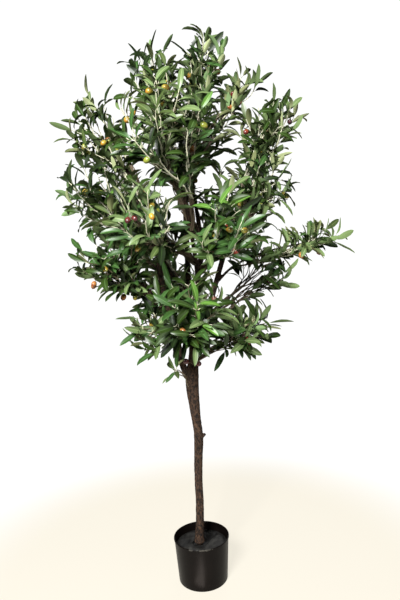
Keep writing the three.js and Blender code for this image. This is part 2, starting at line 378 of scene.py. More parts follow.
def limb_paths():
    """Each limb's path, radii and the point of the path where it enters its mass."""
    masses = {f"{name}_branch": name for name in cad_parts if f"{name}_branch" in CARRIERS}
    masses.update({limb: name for name, limb in BOUGH_OF.items() if not name.startswith("skirt")})
    limbs = {}
    for name, carrier in CARRIERS.items():
        path, radii = limb_slices(name)
        entry = path[-1]
        if carrier:
            below = limbs[carrier]["path"]
            drop = ROOTING["trunk" if carrier == "trunk" else "branch"]
            root = below[np.abs(below[:, 2] - (path[0, 2] - drop)).argmin()]
            path = np.vstack([root, path])
            radii = np.concatenate([[radii[0] * ROOT_SWELL], radii])
        else:
            path = np.vstack([2 * path[0] - path[1], path])
            radii = np.concatenate([radii[:1], radii])
        if name in masses:
            path = np.vstack([path, mass_centre(masses[name])])
            radii = np.concatenate([radii, [TWIG_END]])
        path, radii = resampled(path, radii, LIMB_STEP)
        path = np.vstack([path[:1], running(path, SMOOTHING, np.mean)[1:-1], path[-1:]])
        entered = int(np.linalg.norm(path - entry, axis=1).argmin())
        limbs[name] = {"path": path, "radii": radii, "entered": entered}
    return limbs


# ---------------------------------------------------------------- settings


def length_setting(name, description, default):
    """A length that a user would change."""
    return FloatProperty(name=name, description=description, default=default, unit="LENGTH")


def colour_setting(name, description, code):
    """A colour that a user would change, its default given as an sRGB hex code."""
    return FloatVectorProperty(
        name=name, description=description, default=colour(code), size=4, subtype="COLOR"
    )


class OliveStageSettings(PropertyGroup):
    floor_colour: colour_setting("Floor colour", "Pale floor round the pot", "#fef8e9")
    backdrop: FloatProperty(
        name="Backdrop",
        description="Brightness of the white that is seen behind the tree",
        default=1.05,
    )
    daylight: FloatProperty(
        name="Daylight",
        description="Strength of the even light from all round",
        default=0.025,
    )
    lamp_power: FloatProperty(
        name="Lamp power",
        description="Power of the soft lamp at the front left",
        default=338.0,
        unit="POWER",
    )


class OlivePotSettings(PropertyGroup):
    wall: length_setting("Wall", "Thickness of the moulded wall", 2.2 * MM)
    lip_depth: length_setting("Lip depth", "Height of the rolled lip round the mouth", 7 * MM)
    lip_proud: length_setting("Lip overhang", "How far the lip stands out from the wall", 1.8 * MM)
    plastic: colour_setting("Plastic", "Black moulded plastic", "#090605")


class OliveFillingSettings(PropertyGroup):
    fold_height: length_setting(
        "Fold height", "Height of the soft folds in the filling's top", 9 * MM
    )
    cement: colour_setting("Cement", "Dyed cast cement", "#100f0e")


class OliveBarkSettings(PropertyGroup):
    ridge_height: length_setting(
        "Ridge height", "Height of the ridges that run along the bark", 2.2 * MM
    )
    dark: colour_setting("Furrows", "Bark in the furrows", "#100a06")
    light: colour_setting("Ridges", "Bark on the ridges", "#453224")


class OliveFoliageSettings(PropertyGroup):
    seed: IntProperty(
        name="Seed",
        description="Number that the whole growth follows from",
        default=7,
    )
    leaf_length: length_setting("Leaf length", "Length of a full-grown leaf", 79 * MM)
    leaf_width: length_setting("Leaf width", "Width of a full-grown leaf", 17.8 * MM)
    outer_spacing: length_setting(
        "Outer spacing", "Least distance between two twig ends on the crown's outside", 69 * MM
    )
    inner_spacing: length_setting(
        "Inner spacing", "Least distance between two twig ends inside the crown", 104 * MM
    )
    pair_spacing: length_setting(
        "Pair spacing", "Length of twig from one pair of leaves to the next", 34 * MM
    )
    fruit_share: FloatProperty(
        name="Fruiting twigs",
        description="Share of the twigs that bear olives",
        default=0.32,
        subtype="FACTOR",
    )
    olive_length: length_setting("Olive length", "Length of an olive", 21 * MM)
    olive_width: length_setting("Olive width", "Greatest width of an olive", 16.5 * MM)


# ---------------------------------------------------------------- the stage


class OLIVE_OT_stage(Operator):
    """Lays the pale floor, hangs the soft lamps and sets up the camera"""

    bl_idname = "olive.stage"
    bl_label = "Stage"

    CAMERA_PLACE = (0.0377, -1.705, 1.13)
    CAMERA_PITCH = 6.14  # degrees below the level
    CAMERA_ROLL = -3.06
    LENS = 32  # millimetres, on a 36 mm sensor
    FLOOR_RADIUS = 1.3
    FLOOR_SIDES = 96
    DIMMING = 0.6  # how dark the floor is under the lamps, as a share of its colour
    GLOW = 0.8  # how much of the floor's look near the pot is its own glow
    GLOW_STRENGTH = 1.03
    FADE = (0.65, 1.2)  # the floor turns white between these distances from the pot
    GLEAM_PLACE = (-0.018, -0.168, 0.004)
    GLEAM_SIZE = (0.06, 0.13)
    GLEAM_TINT = (1.0, 0.87, 0.78)
    GLEAM_TURN = 8  # degrees, so that the strip points at the pot
    GLEAM_POWER = 0.11
    LAMP_AIM = (0, 0, 1.1)
    # Name, place, size and share of the lamp power.
    LAMPS = (
        ("key", (-0.9, -2.8, 2.8), 1.0, 1.0),
        ("fill", (2.6, -1.8, 1.6), 1.8, 0.06),
        ("back", (0.8, 3.0, 2.6), 1.8, 0.1),
    )

    def execute(self, context):
        settings = context.scene.olive_stage
        self.lay_floor(settings)
        self.hang_lamps(context, settings)
        self.set_camera(context)
        context.scene.view_settings.view_transform = "Standard"
        return {"FINISHED"}

    def lay_floor(self, settings):
        deselect_all()
        bpy.ops.mesh.primitive_circle_add(
            vertices=self.FLOOR_SIDES, radius=self.FLOOR_RADIUS, fill_type="NGON"
        )
        floor = bpy.context.object
        floor.name = "floor"
        # Pale smooth plaster, which fades into the white beyond it.
        material, tree, shader = principled(
            "pale_plaster",
            {"Base Color": self.dimmed(settings), "Roughness": 0.7, "Specular IOR Level": 0.2},
        )
        place = add_node(tree, "ShaderNodeTexCoord")
        distance = add_node(
            tree, "ShaderNodeVectorMath", {0: place.outputs["Object"]}, operation="LENGTH"
        )
        fade = add_node(
            tree,
            "ShaderNodeMapRange",
            {
                "Value": distance.outputs["Value"],
                "From Min": self.FADE[0],
                "From Max": self.FADE[1],
            },
            interpolation_type="SMOOTHSTEP",
        )
        # To the eye it glows a little, which keeps its shadows faint; the glow lights nothing.
        paleness = add_node(
            tree,
            "ShaderNodeMix",
            {0: fade.outputs["Result"], 6: settings.floor_colour, 7: [settings.backdrop] * 4},
            data_type="RGBA",
        )
        glow = add_node(
            tree,
            "ShaderNodeEmission",
            {"Color": paleness.outputs[2], "Strength": self.GLOW_STRENGTH},
        )
        share = add_node(
            tree, "ShaderNodeMapRange", {"Value": fade.outputs["Result"], "To Min": self.GLOW}
        )
        seen = add_node(tree, "ShaderNodeLightPath")
        seen_share = add_node(
            tree,
            "ShaderNodeMath",
            {0: share.outputs["Result"], 1: seen.outputs["Is Camera Ray"]},
            operation="MULTIPLY",
        )
        blend = add_node(
            tree,
            "ShaderNodeMixShader",
            {0: seen_share.outputs[0], 1: shader.outputs["BSDF"], 2: glow.outputs[0]},
        )
        tree.links.new(blend.outputs[0], tree.nodes["Material Output"].inputs["Surface"])
        floor.data.materials.append(material)

    def dimmed(self, settings):
        """The floor's colour under the lamps, to which its glow adds the rest."""
        return (*(channel * self.DIMMING for channel in settings.floor_colour[:3]), 1)

    def hang_lamps(self, context, settings):
        world = context.scene.world or bpy.data.worlds.new("Daylight")
        context.scene.world = world
        world.use_nodes = True
        tree = world.node_tree
        # The white behind the tree is brighter than the daylight that falls on it.
        soft = add_node(tree, "ShaderNodeBackground", {"Strength": settings.daylight})
        white = add_node(tree, "ShaderNodeBackground", {"Strength": settings.backdrop})
        for background in (soft, white):
            background.inputs["Color"].default_value = (1, 1, 1, 1)
        seen = add_node(tree, "ShaderNodeLightPath")
        blend = add_node(
            tree,
            "ShaderNodeMixShader",
            {0: seen.outputs["Is Camera Ray"], 1: soft.outputs[0], 2: white.outputs[0]},
        )
        tree.links.new(blend.outputs[0], tree.nodes["World Output"].inputs["Surface"])
        for name, place, size, share in self.LAMPS:
            bpy.ops.object.light_add(type="AREA", location=place)
            lamp = bpy.context.object
            lamp.name = name
            lamp.data.size = size
            lamp.data.energy = settings.lamp_power * share
            lamp.visible_camera = False
            towards = Vector(self.LAMP_AIM) - Vector(place)
            lamp.rotation_euler = towards.to_track_quat("-Z", "Y").to_euler()
        # A narrow strip on the floor in front draws the pot's upright gleam.
        bpy.ops.object.light_add(type="AREA", location=self.GLEAM_PLACE)
        strip = bpy.context.object
        strip.name = "gleam"
        strip.visible_camera = False
        strip.data.shape = "RECTANGLE"
        strip.data.size, strip.data.size_y = self.GLEAM_SIZE
        strip.data.energy = self.GLEAM_POWER
        strip.data.color = self.GLEAM_TINT
        strip.rotation_euler = (math.pi, 0, math.radians(self.GLEAM_TURN))

    def set_camera(self, context):
        bpy.ops.object.camera_add()
        camera = bpy.context.object
        camera.data.lens = self.LENS
        level = math.radians(90 - self.CAMERA_PITCH)
        camera.matrix_world = (
            Matrix.Translation(self.CAMERA_PLACE)
            @ Matrix.Rotation(level, 4, "X")
            @ Matrix.Rotation(math.radians(self.CAMERA_ROLL), 4, "Z")
        )
        context.scene.camera = camera


# ---------------------------------------------------------------- pot and filling


def turned_up(profile, sides):
    """A round solid drawn up ring by ring from a disc, along [radius, height] points."""
    (radius, height), *rest = profile
    deselect_all()
    bpy.ops.mesh.primitive_circle_add(
        vertices=sides, radius=radius, fill_type="NGON", location=(0, 0, height)
    )
    bpy.ops.object.transform_apply(location=True, rotation=False, scale=False)
    bpy.ops.object.mode_set(mode="EDIT")
    bpy.ops.mesh.select_all(action="SELECT")
    for next_radius, next_height in rest:
        bpy.ops.mesh.extrude_region_move(
            TRANSFORM_OT_translate={"value": (0, 0, next_height - height)}
        )
        scale = next_radius / radius
        bpy.ops.transform.resize(value=(scale, scale, 1))
        radius, height = next_radius, next_height
    bpy.ops.mesh.select_all(action="SELECT")
    bpy.ops.mesh.normals_make_consistent(inside=False)
    bpy.ops.object.mode_set(mode="OBJECT")
    return bpy.context.object


def arc(centre, radius, start, end, count):
    """Points of an arc, its angles in degrees from the outward direction."""
    angles = np.radians(np.linspace(start, end, count))
    return [(centre[0] + radius * math.cos(a), centre[1] + radius * math.sin(a)) for a in angles]


def moulded_plastic(settings):
    # Injection-moulded polypropylene: near black, a satin skin that is duller where handled.
    material, tree, shader = principled(
        "moulded_polypropylene", {"IOR": 1.49, "Specular IOR Level": 0.11}
    )
    place = add_node(tree, "ShaderNodeTexCoord")
    # Flow marks run down the wall, some 15 mm wide.
    flow = add_node(
        tree,
        "ShaderNodeMapping",
        {"Vector": place.outputs["Object"], "Scale": (1, 1, 0.15)},
    )
    marks = add_node(
        tree,
        "ShaderNodeTexNoise",
        {"Vector": flow.outputs["Vector"], "Scale": 65, "Detail": 3},
    )
    gloss = add_node(
        tree,
        "ShaderNodeMapRange",
        {"Value": marks.outputs["Fac"], "To Min": 0.28, "To Max": 0.42},
    )
    tree.links.new(gloss.outputs["Result"], shader.inputs["Roughness"])
    dust = add_node(
        tree,
        "ShaderNodeTexNoise",
        {"Vector": place.outputs["Object"], "Scale": 38, "Detail": 6, "Roughness": 0.7},
    )
    shade = add_node(tree, "ShaderNodeValToRGB", {"Fac": dust.outputs["Fac"]})
    shade.color_ramp.elements[0].position = 0.42
    shade.color_ramp.elements[0].color = settings.plastic
    shade.color_ramp.elements[1].position = 0.78
    shade.color_ramp.elements[1].color = colour("#0f0b09")
    tree.links.new(shade.outputs["Color"], shader.inputs["Base Color"])
    # The skin's grain is about 0.4 mm; it is drawn 1 mm wide so that it shows.
    grain = add_node(
        tree,
        "ShaderNodeTexNoise",
        {"Vector": place.outputs["Object"], "Scale": 900, "Detail": 2},
    )
    bump = add_node(
        tree,
        "ShaderNodeBump",
        {"Height": grain.outputs["Fac"], "Strength": 0.12, "Distance": 0.3 * MM},
    )
    tree.links.new(bump.outputs["Normal"], shader.inputs["Normal"])
    return material


class OLIVE_OT_pot(Operator):
    """Models the thin black pot with its rolled lip"""

    bl_idname = "olive.pot"
    bl_label = "Pot"

    SIDES = 128
    FOOT_SHARE = 0.886  # the foot's radius as a share of the rim's
    FOOT_ROUND = 2.5 * MM
    FLOOR = 3 * MM
    RECESS = (12 * MM, 1.2 * MM)  # the underside's hollow: in from the foot's edge, and up
    # Where rings lie on the wall, as shares of its height: outside going up, and inside down.
    OUTER_RINGS = np.linspace(0.1, 1, 10)
    INNER_RINGS = np.linspace(0.12, 1, 9)
    # The lip's lower corner: its width as a share of half the lip's, and its heights.
    LIP_CORNER = (0.9, 0.8 * MM, 2 * MM)
    # How far the mouth is out of round: depth, waves in the whole round, and phase.
    OUT_OF_ROUND = ((0.45 * MM, 2, 0.8), (0.2 * MM, 5, 0))
    WALL_FROM = 40 * MM  # only what lies outside this radius is out of round

    def execute(self, context):
        settings = context.scene.olive_pot
        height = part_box("pot")[1].z
        piece = turned_up(self.profile(settings), self.SIDES)
        activate(piece)
        # A thin moulded wall is never quite round.
        for corner in piece.data.vertices:
            place = corner.co
            angle = math.atan2(place.y, place.x)
            lift = place.z / height
            out = sum(
                depth * lift * math.sin(waves * angle + phase)
                for depth, waves, phase in self.OUT_OF_ROUND
            )
            radius = math.hypot(place.x, place.y)
            if radius > self.WALL_FROM:
                place.x *= 1 + out / radius
                place.y *= 1 + out / radius
        finish_piece(piece, "pot_shell", [moulded_plastic(settings)], ["pot"], 50)
        return {"FINISHED"}

    def profile(self, settings):
        """The section from the underside, up the wall, over the lip and down to the floor."""
        low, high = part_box("pot")
        rim = (high.x - low.x) / 2
        height = high.z
        foot = rim * self.FOOT_SHARE
        inner_foot = foot - settings.wall
        wall_top = rim - settings.lip_proud
        lip_foot = height - settings.lip_depth
        roll = settings.lip_proud + settings.wall  # the lip's thickness
        half = roll / 2
        inset, hollow = self.RECESS
        corner_share, corner_low, corner_high = self.LIP_CORNER
        return [
            (foot - inset - 2 * hollow, hollow),
            (foot - inset - hollow, hollow),
            (foot - inset, 0),
            *arc((foot - self.FOOT_ROUND, self.FOOT_ROUND), self.FOOT_ROUND, -90, 0, 6),
            *(
                (
                    foot + (wall_top - foot) * share,
                    self.FOOT_ROUND + (lip_foot - self.FOOT_ROUND) * share,
                )
                for share in self.OUTER_RINGS
            ),
            (rim - half + half * corner_share, lip_foot + corner_low),
            (rim, lip_foot + corner_high),
            *arc((rim - half, height - half), half, 0, 180, 9),
            *(
                (
                    rim - roll + (inner_foot - rim + roll) * share,
                    height - half + (self.FLOOR - height + half) * share,
                )
                for share in self.INNER_RINGS
            ),
        ]


PAINTED_SHADE_HEIGHTS = (0.117, 0.13)  # heights between which the painted shade fades out, from dark to the cement's own colour
PAINTED_SHADE_LEVEL = 0.25  # how dark the painted shade is at the lower one, as a share of the cement's colour


def cast_cement(name, dark, light):
    # Dyed cement poured by hand: dark, rough and chalky, paler where it was rubbed.
    material, tree, shader = principled(name, {"IOR": 1.5, "Specular IOR Level": 0.25})
    place = add_node(tree, "ShaderNodeTexCoord")
    clouds = add_node(
        tree,
        "ShaderNodeTexNoise",
        {"Vector": place.outputs["Object"], "Scale": 45, "Detail": 8, "Roughness": 0.65},
    )
    shade = add_node(tree, "ShaderNodeValToRGB", {"Fac": clouds.outputs["Fac"]})
    shade.color_ramp.elements[0].position = 0.38
    shade.color_ramp.elements[0].color = dark
    shade.color_ramp.elements[1].position = 0.68
    shade.color_ramp.elements[1].color = light
    # Painted shade: the cement is painted darker the lower it lies, in the socket round the trunk
    # and in the troughs between the folds, where shade falls.
    height = add_node(tree, "ShaderNodeSeparateXYZ", {"Vector": place.outputs["Object"]})
    hollow = add_node(
        tree,
        "ShaderNodeMapRange",
        {
            "Value": height.outputs["Z"],
            "From Min": PAINTED_SHADE_HEIGHTS[0],
            "From Max": PAINTED_SHADE_HEIGHTS[1],
            "To Min": PAINTED_SHADE_LEVEL,
        },
    )
    painted_shade_colour = add_node(
        tree,
        "ShaderNodeVectorMath",
        {0: shade.outputs["Color"], "Scale": hollow.outputs["Result"]},
        operation="SCALE",
    )
    tree.links.new(painted_shade_colour.outputs["Vector"], shader.inputs["Base Color"])
    dull = add_node(
        tree,
        "ShaderNodeMapRange",
        {"Value": clouds.outputs["Fac"], "To Min": 0.5, "To Max": 0.85},
    )
    tree.links.new(dull.outputs["Result"], shader.inputs["Roughness"])
    # Sand grains of about 1 mm.
    sand = add_node(
        tree,
        "ShaderNodeTexNoise",
        {"Vector": place.outputs["Object"], "Scale": 700, "Detail": 4},
    )
    bump = add_node(
        tree,
        "ShaderNodeBump",
        {"Height": sand.outputs["Fac"], "Strength": 0.35, "Distance": 0.8 * MM},
    )
    tree.links.new(bump.outputs["Normal"], shader.inputs["Normal"])
    return material


class OLIVE_OT_filling(Operator):
    """Models the cement filling, folded on top and sunk round the trunk, and its dried crust"""

    bl_idname = "olive.filling"
    bl_label = "Filling"

    SIDES = 96
    RINGS = 26
    EDGE_DROP = 4 * MM  # from the frame's top to the edge at the pot's wall
    LOWER_SHARES = (0.9, 0.95)  # radii at the bottom and half way up, as shares of the edge's
    SOCKET = 25 * MM  # radius of the socket round the trunk's foot
    SOCKET_SHIFT = (1 * MM, -4 * MM)  # from the foot's middle to the socket's
    SOCKET_LIP = (2 * MM, 0.985)  # the first step down into the socket, and how it narrows
    SOCKET_TAPER = 0.98  # how the rest of the socket narrows
    RIPPLE_SEED = 3
    RIPPLES = 9  # waves that cross the top in scattered directions, each quicker and lower
    RIPPLE_PACE, QUICKENING = 90, 0.6  # radians in a metre
    RIPPLE_DEPTH, WEAKENING = 0.5 * MM, 0.4
    TOP_DEPTH = 3 * MM  # what lies less than this below the edge belongs to the top
    WALL_REACH = 12 * MM  # the folds die away this close to the wall
    WALL_SINK = 1.5 * MM
    DOME_HEIGHT, DOME_SPREAD = 3 * MM, 45 * MM  # the rise round the trunk
    CRUST_SEED = 5
    CRUST_ENDS = (-141, -58)  # degrees round the lip
    CRUST_RINGS = 90
    CRUST_DEPTH = 0.6 * MM
    CRUST_WAVE = 1.2 * MM
    CRUST_SMOOTHING = 5  # rings that a running mean takes together
    CRUST_TAPER = 0.3  # a low power thins the crust only near its ends
    # Soft folds in the top: [x, y, length, width, direction in degrees, share of fold height]
    FOLDS = (
        (0.050, 0.005, 0.040, 0.024, 60, 1.0),
        (0.027, 0.026, 0.050, 0.011, 62, -1.7),
        (-0.030, -0.040, 0.030, 0.010, -25, 0.9),
        (-0.050, 0.010, 0.035, 0.014, 100, -0.5),
        (0.010, -0.055, 0.040, 0.007, 10, -0.6),
        (0.035, -0.050, 0.035, 0.008, 35, 0.5),
        (-0.015, 0.055, 0.040, 0.010, 170, 0.5),
    )

    def execute(self, context):
        settings = context.scene.olive_filling
        low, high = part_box("pot_filling")
        radius = (high.x - low.x) / 2
        edge = high.z - self.EDGE_DROP
        foot = limb_slices("trunk")[0][0]
        bottom_share, middle_share = self.LOWER_SHARES
        profile = [
            (radius * bottom_share, low.z),
            (radius * middle_share, edge / 2),
            (radius, edge),
        ]
        piece = turned_up(profile, self.SIDES)
        self.draw_in(piece, radius, edge, foot)
        self.fold(piece, radius, edge, foot, settings.fold_height)
        material = cast_cement("cast_cement", settings.cement, colour("#33322f"))
        finish_piece(piece, "cement_filling", [material], ["pot_filling"], 60)
        self.dry_crust(context.scene.olive_pot)
        return {"FINISHED"}

    def draw_in(self, piece, radius, edge, foot):
        """Divides the top into rings and sinks the socket, its middle the trunk's own."""
        bpy.ops.object.mode_set(mode="EDIT")
        bpy.ops.mesh.select_mode(type="FACE")
        bpy.ops.mesh.select_all(action="DESELECT")
        mesh = bmesh.from_edit_mesh(piece.data)
        mesh.faces.ensure_lookup_table()
        max(mesh.faces, key=lambda face: face.calc_center_median().z).select = True
        bmesh.update_edit_mesh(piece.data)
        shift = [middle + step for middle, step in zip(foot, self.SOCKET_SHIFT)]
        shares = np.linspace(0, 1, self.RINGS + 1)[1:]
        size = radius
        for before, share in zip([0, *shares[:-1]], shares):
            next_size = radius + (self.SOCKET - radius) * share
            bpy.ops.mesh.extrude_region_move()
            scale = next_size / size
            bpy.ops.transform.resize(value=(scale, scale, 1))
            bpy.ops.transform.translate(value=(*(c * (share - before) for c in shift), 0))
            size = next_size
        lip_drop = self.SOCKET_LIP[0]
        socket_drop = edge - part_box("trunk")[0].z - lip_drop
        for drop, shrink in (self.SOCKET_LIP, (socket_drop, self.SOCKET_TAPER)):
            bpy.ops.mesh.extrude_region_move(TRANSFORM_OT_translate={"value": (0, 0, -drop)})
            bpy.ops.transform.resize(value=(shrink, shrink, 1))
        bpy.ops.object.mode_set(mode="OBJECT")
        activate(piece)

    def fold(self, piece, radius, edge, foot, fold_height):
        """Raises the top in soft folds and fine ripples, domed round the trunk."""
        rng = np.random.default_rng(self.RIPPLE_SEED)
        waves = [(*rng.uniform(-1, 1, 2), rng.uniform(0, 6)) for _ in range(self.RIPPLES)]
        for corner in piece.data.vertices:
            place = corner.co
            if place.z < edge - self.TOP_DEPTH:
                continue
            lift = 0
            for x, y, length, width, turn, share in self.FOLDS:
                c, s = math.cos(math.radians(turn)), math.sin(math.radians(turn))
                along = ((place.x - x) * c + (place.y - y) * s) / length
                aside = (-(place.x - x) * s + (place.y - y) * c) / width
                lift += share * fold_height * math.exp(-(along**2) - aside**2)
            for number, (a, b, phase) in enumerate(waves):
                pace = self.RIPPLE_PACE * (1 + number * self.QUICKENING)
                depth = self.RIPPLE_DEPTH / (1 + number * self.WEAKENING)
                lift += depth * math.sin(pace * (a * place.x + b * place.y) + phase)
            near_wall = min(1, (radius - math.hypot(place.x, place.y)) / self.WALL_REACH)
            from_foot = math.hypot(place.x - foot[0], place.y - foot[1])
            dome = self.DOME_HEIGHT * math.exp(-((from_foot / self.DOME_SPREAD) ** 2))
            raised = (lift + dome) * max(0.0, near_wall)
            place.z += raised - self.WALL_SINK * (1 - near_wall)

    def dry_crust(self, pot):
        """Lays the ragged crust of cement that dried on the front of the pot's lip."""
        rng = np.random.default_rng(self.CRUST_SEED)
        low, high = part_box("pot")
        half = (pot.lip_proud + pot.wall) / 2
        angles = np.radians(np.linspace(*self.CRUST_ENDS, self.CRUST_RINGS))
        scatter = rng.normal(0, 1, (self.CRUST_RINGS, 2))
        waves = running(scatter, self.CRUST_SMOOTHING, np.mean)
        out = (high.x - low.x) / 2 - half + self.CRUST_WAVE * waves[:, 0]
        level = np.full(self.CRUST_RINGS, high.z - half)
        path = np.stack([out * np.cos(angles), out * np.sin(angles), level], axis=1)
        held = np.sin(np.linspace(0, math.pi, self.CRUST_RINGS)) ** self.CRUST_TAPER
        radii = held * (half + self.CRUST_DEPTH + self.CRUST_WAVE * waves[:, 1])
        crust = limb_object("crust", path, radii)
        roughen(crust, self.CRUST_WAVE)
        material = cast_cement("dried_cement", colour("#141311"), colour("#47443d"))
        finish_piece(crust, "cement_crust", [material], [], 60)


# ---------------------------------------------------------------- bark


def resin_bark(settings):
    # Cast resin bark, brushed dark and dabbed lighter on its ridges: dry and almost matt.
    material, tree, shader = principled("resin_bark", {"IOR": 1.5, "Specular IOR Level": 0.25})
    place = add_node(tree, "ShaderNodeTexCoord")
    # Bark plates are some 6 mm wide and twice as long.
    stretch = add_node(
        tree,
        "ShaderNodeMapping",
        {"Vector": place.outputs["Object"], "Scale": (1, 1, 0.5)},
    )
    plates = add_node(
        tree,
        "ShaderNodeTexNoise",
        {
            "Vector": stretch.outputs["Vector"],
            "Scale": 170,
            "Detail": 6,
            "Roughness": 0.65,
            "Distortion": 0.6,
        },
    )
    shade = add_node(tree, "ShaderNodeValToRGB", {"Fac": plates.outputs["Fac"]})
    ramp = shade.color_ramp
    ramp.elements[0].position = 0.44
    ramp.elements[0].color = settings.dark
    ramp.elements[1].position = 0.61
    ramp.elements[1].color = settings.light
    # Pale flecks of dry brushing, 1 to 2 mm wide.
    flecks = add_node(
        tree,
        "ShaderNodeTexNoise",
        {"Vector": stretch.outputs["Vector"], "Scale": 620, "Detail": 3, "Roughness": 0.6},
    )
    where = add_node(
        tree,
        "ShaderNodeMapRange",
        {
            "Value": flecks.outputs["Fac"],
            "From Min": 0.6,
            "From Max": 0.74,
            "To Min": 0,
            "To Max": 0.75,
        },
    )
    dabbed = add_node(
        tree,
        "ShaderNodeMix",
        {0: where.outputs["Result"], 6: shade.outputs["Color"], 7: colour("#80695a")},
        data_type="RGBA",
    )
    tree.links.new(dabbed.outputs[2], shader.inputs["Base Color"])
    dry = add_node(
        tree,
        "ShaderNodeMapRange",
        {"Value": plates.outputs["Fac"], "To Min": 0.95, "To Max": 0.7},
    )
    tree.links.new(dry.outputs["Result"], shader.inputs["Roughness"])
    bump = add_node(
        tree,
        "ShaderNodeBump",
        {"Height": flecks.outputs["Fac"], "Strength": 0.5, "Distance": 0.7 * MM},
    )
    tree.links.new(bump.outputs["Normal"], shader.inputs["Normal"])
    return material


def limb_object(name, path, radii):
    """A limb drawn as a curve with a round bevel, turned into a mesh."""
    deselect_all()
    bpy.ops.curve.primitive_nurbs_path_add()
    limb = bpy.context.object
    limb.name = name
    curve = limb.data
    curve.splines.clear()
    spline = curve.splines.new("POLY")
    spline.points.add(len(path) - 1)
    for point, place, radius in zip(spline.points, path, radii):
        point.co = (*place, 1)
        point.radius = radius
    curve.dimensions = "3D"
    curve.bevel_depth = 1.0
    curve.bevel_resolution = 4
    curve.use_fill_caps = True
    bpy.ops.object.convert(target="MESH")
    return bpy.context.object


# The bark's relief: name, width, height as a share of the ridges' height, and kind of noise.
RELIEF = (
    ("knots", 26 * MM, 1.1, "SOFT_NOISE"),
    ("ridges", 6 * MM, 0.75, "HARD_NOISE"),
)
RELIEF_STRETCH = 3.2  # how much longer than wide it is


def roughen(piece, ridge_height):
    """Raises long ridges and low knots on a limb's skin."""
    stretch = bpy.data.objects.new("stretch", None)
    bpy.context.collection.objects.link(stretch)
    stretch.scale = (1, 1, RELIEF_STRETCH)
    bpy.context.view_layer.update()
    for name, size, share, noise in RELIEF:
        texture = bpy.data.textures.new(name, "CLOUDS")
        texture.noise_scale = size
        texture.noise_depth = 2
        texture.noise_type = noise
        activate(piece)
        apply_modifier(
            piece,
            "DISPLACE",
            texture=texture,
            texture_coords="OBJECT",
            texture_coords_object=stretch,
            strength=share * ridge_height,
            mid_level=0.5,
        )
    bpy.data.objects.remove(stretch)


class OLIVE_OT_bark(Operator):
    """Models the trunk and the boughs, each limb grown on into its foliage"""

    bl_idname = "olive.bark"
    bl_label = "Trunk and boughs"

    TRUNK_PROUD = 2.1 * MM  # how far the bark's ridges stand out from the frame's trunk
    FOOT_ROUND = 11 * MM  # height over which the trunk's foot is rounded off
    FOOT_TUCK = 0.88  # how far the rounding draws the foot's edge in
    TRUNK_VOXEL = 1.4 * MM
    BOUGH_VOXEL = 2.2 * MM
    BOUGH_RIDGES = 0.6  # their height, as a share of the trunk's ridges
    STUB_PROUD = 1.5  # what lies this many trunk radii from the centreline is the stub
    STUB_FROM = 0.3  # height above which it is looked for
    STUB_RISE = 16 * MM  # from its root in the trunk to its tip
    STUB_RADII = (7.5 * MM, 5 * MM)
    STUB_STEP = 5 * MM

    def execute(self, context):
        settings = context.scene.olive_bark
        limbs = limb_paths()
        material = resin_bark(settings)
        path, radii = limbs["trunk"]["path"], limbs["trunk"]["radii"] + self.TRUNK_PROUD
        above = np.clip((path[:, 2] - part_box("trunk")[0].z) / self.FOOT_ROUND, 0, 1)
        rounded = radii * np.sqrt(1 - self.FOOT_TUCK * (1 - above) ** 2)
        trunk = limb_object("trunk", path, rounded)
        stub = self.stub(limbs["trunk"])
        activate(trunk, stub)
        bpy.ops.object.join()
        self.skin(trunk, self.TRUNK_VOXEL, settings.ridge_height)
        self.trim_foot(trunk)
        finish_piece(trunk, "trunk_bark", [material], ["trunk"], 60)
        names = [name for name in CARRIERS if name != "trunk"]
        boughs = [limb_object(n, limbs[n]["path"], limbs[n]["radii"]) for n in names]
        activate(*boughs)
        bpy.ops.object.join()
        self.skin(boughs[0], self.BOUGH_VOXEL, settings.ridge_height * self.BOUGH_RIDGES)
        finish_piece(boughs[0], "bough_bark", [material], names, 60)
        return {"FINISHED"}

    def stub(self, trunk):
        """The stub of a cut side shoot: what stands out of the trunk's own outline."""
        points = node_arrays("trunk")[0]
        nearest = np.abs(points[:, 2, None] - trunk["path"][None, :, 2]).argmin(axis=1)
        out = np.linalg.norm(points[:, :2] - trunk["path"][nearest, :2], axis=1)
        stands_out = out > self.STUB_PROUD * trunk["radii"][nearest]
        tip = points[stands_out & (points[:, 2] > self.STUB_FROM)].mean(axis=0)
        root_height = tip[2] - self.STUB_RISE
        root = trunk["path"][np.abs(trunk["path"][:, 2] - root_height).argmin()]
        ends = np.array([root, tip])
        return limb_object("stub", *resampled(ends, np.array(self.STUB_RADII), self.STUB_STEP))

    def skin(self, piece, voxel, ridge_height):
        """Melts joined limbs into one skin and gives it its relief."""
        activate(piece)
        apply_modifier(piece, "REMESH", mode="VOXEL", voxel_size=voxel)
        apply_modifier(piece, "SMOOTH", factor=0.5, iterations=3)
        roughen(piece, ridge_height)

    def trim_foot(self, trunk):
        """Cuts the trunk's foot flat where it stands in its socket."""
        activate(trunk)
        bpy.ops.object.mode_set(mode="EDIT")
        bpy.ops.mesh.select_all(action="SELECT")
        bpy.ops.mesh.bisect(
            plane_co=(0, 0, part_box("trunk")[0].z),
            plane_no=(0, 0, 1),
            use_fill=True,
            clear_inner=True,
        )
        bpy.ops.object.mode_set(mode="OBJECT")


# ---------------------------------------------------------------- the growth


def spread_directions(count, turn):
    """Directions spread evenly over a sphere."""
    k = np.arange(count) + 0.5
    rise = 1 - 2 * k / count
    round_about = math.pi * (1 + 5**0.5) * k + turn
    level = np.sqrt(1 - rise**2)
    return np.stack([np.cos(round_about) * level, np.sin(round_about) * level, rise], axis=1)


def mass_shape(name):
    """A mass of foliage: its centre and a tree that finds its surface."""
    points, triangles = node_arrays(name)
    return {
        "name": name,
        "points": points,
        "centre": points.mean(axis=0),
        "tree": BVHTree.FromPolygons(points.tolist(), triangles.tolist()),
    }


def holds(mass, point):
    """Whether a point is inside a mass."""
    place, normal, _, _ = mass["tree"].find_nearest(Vector(point))
    return (Vector(point) - place).dot(normal) < 0


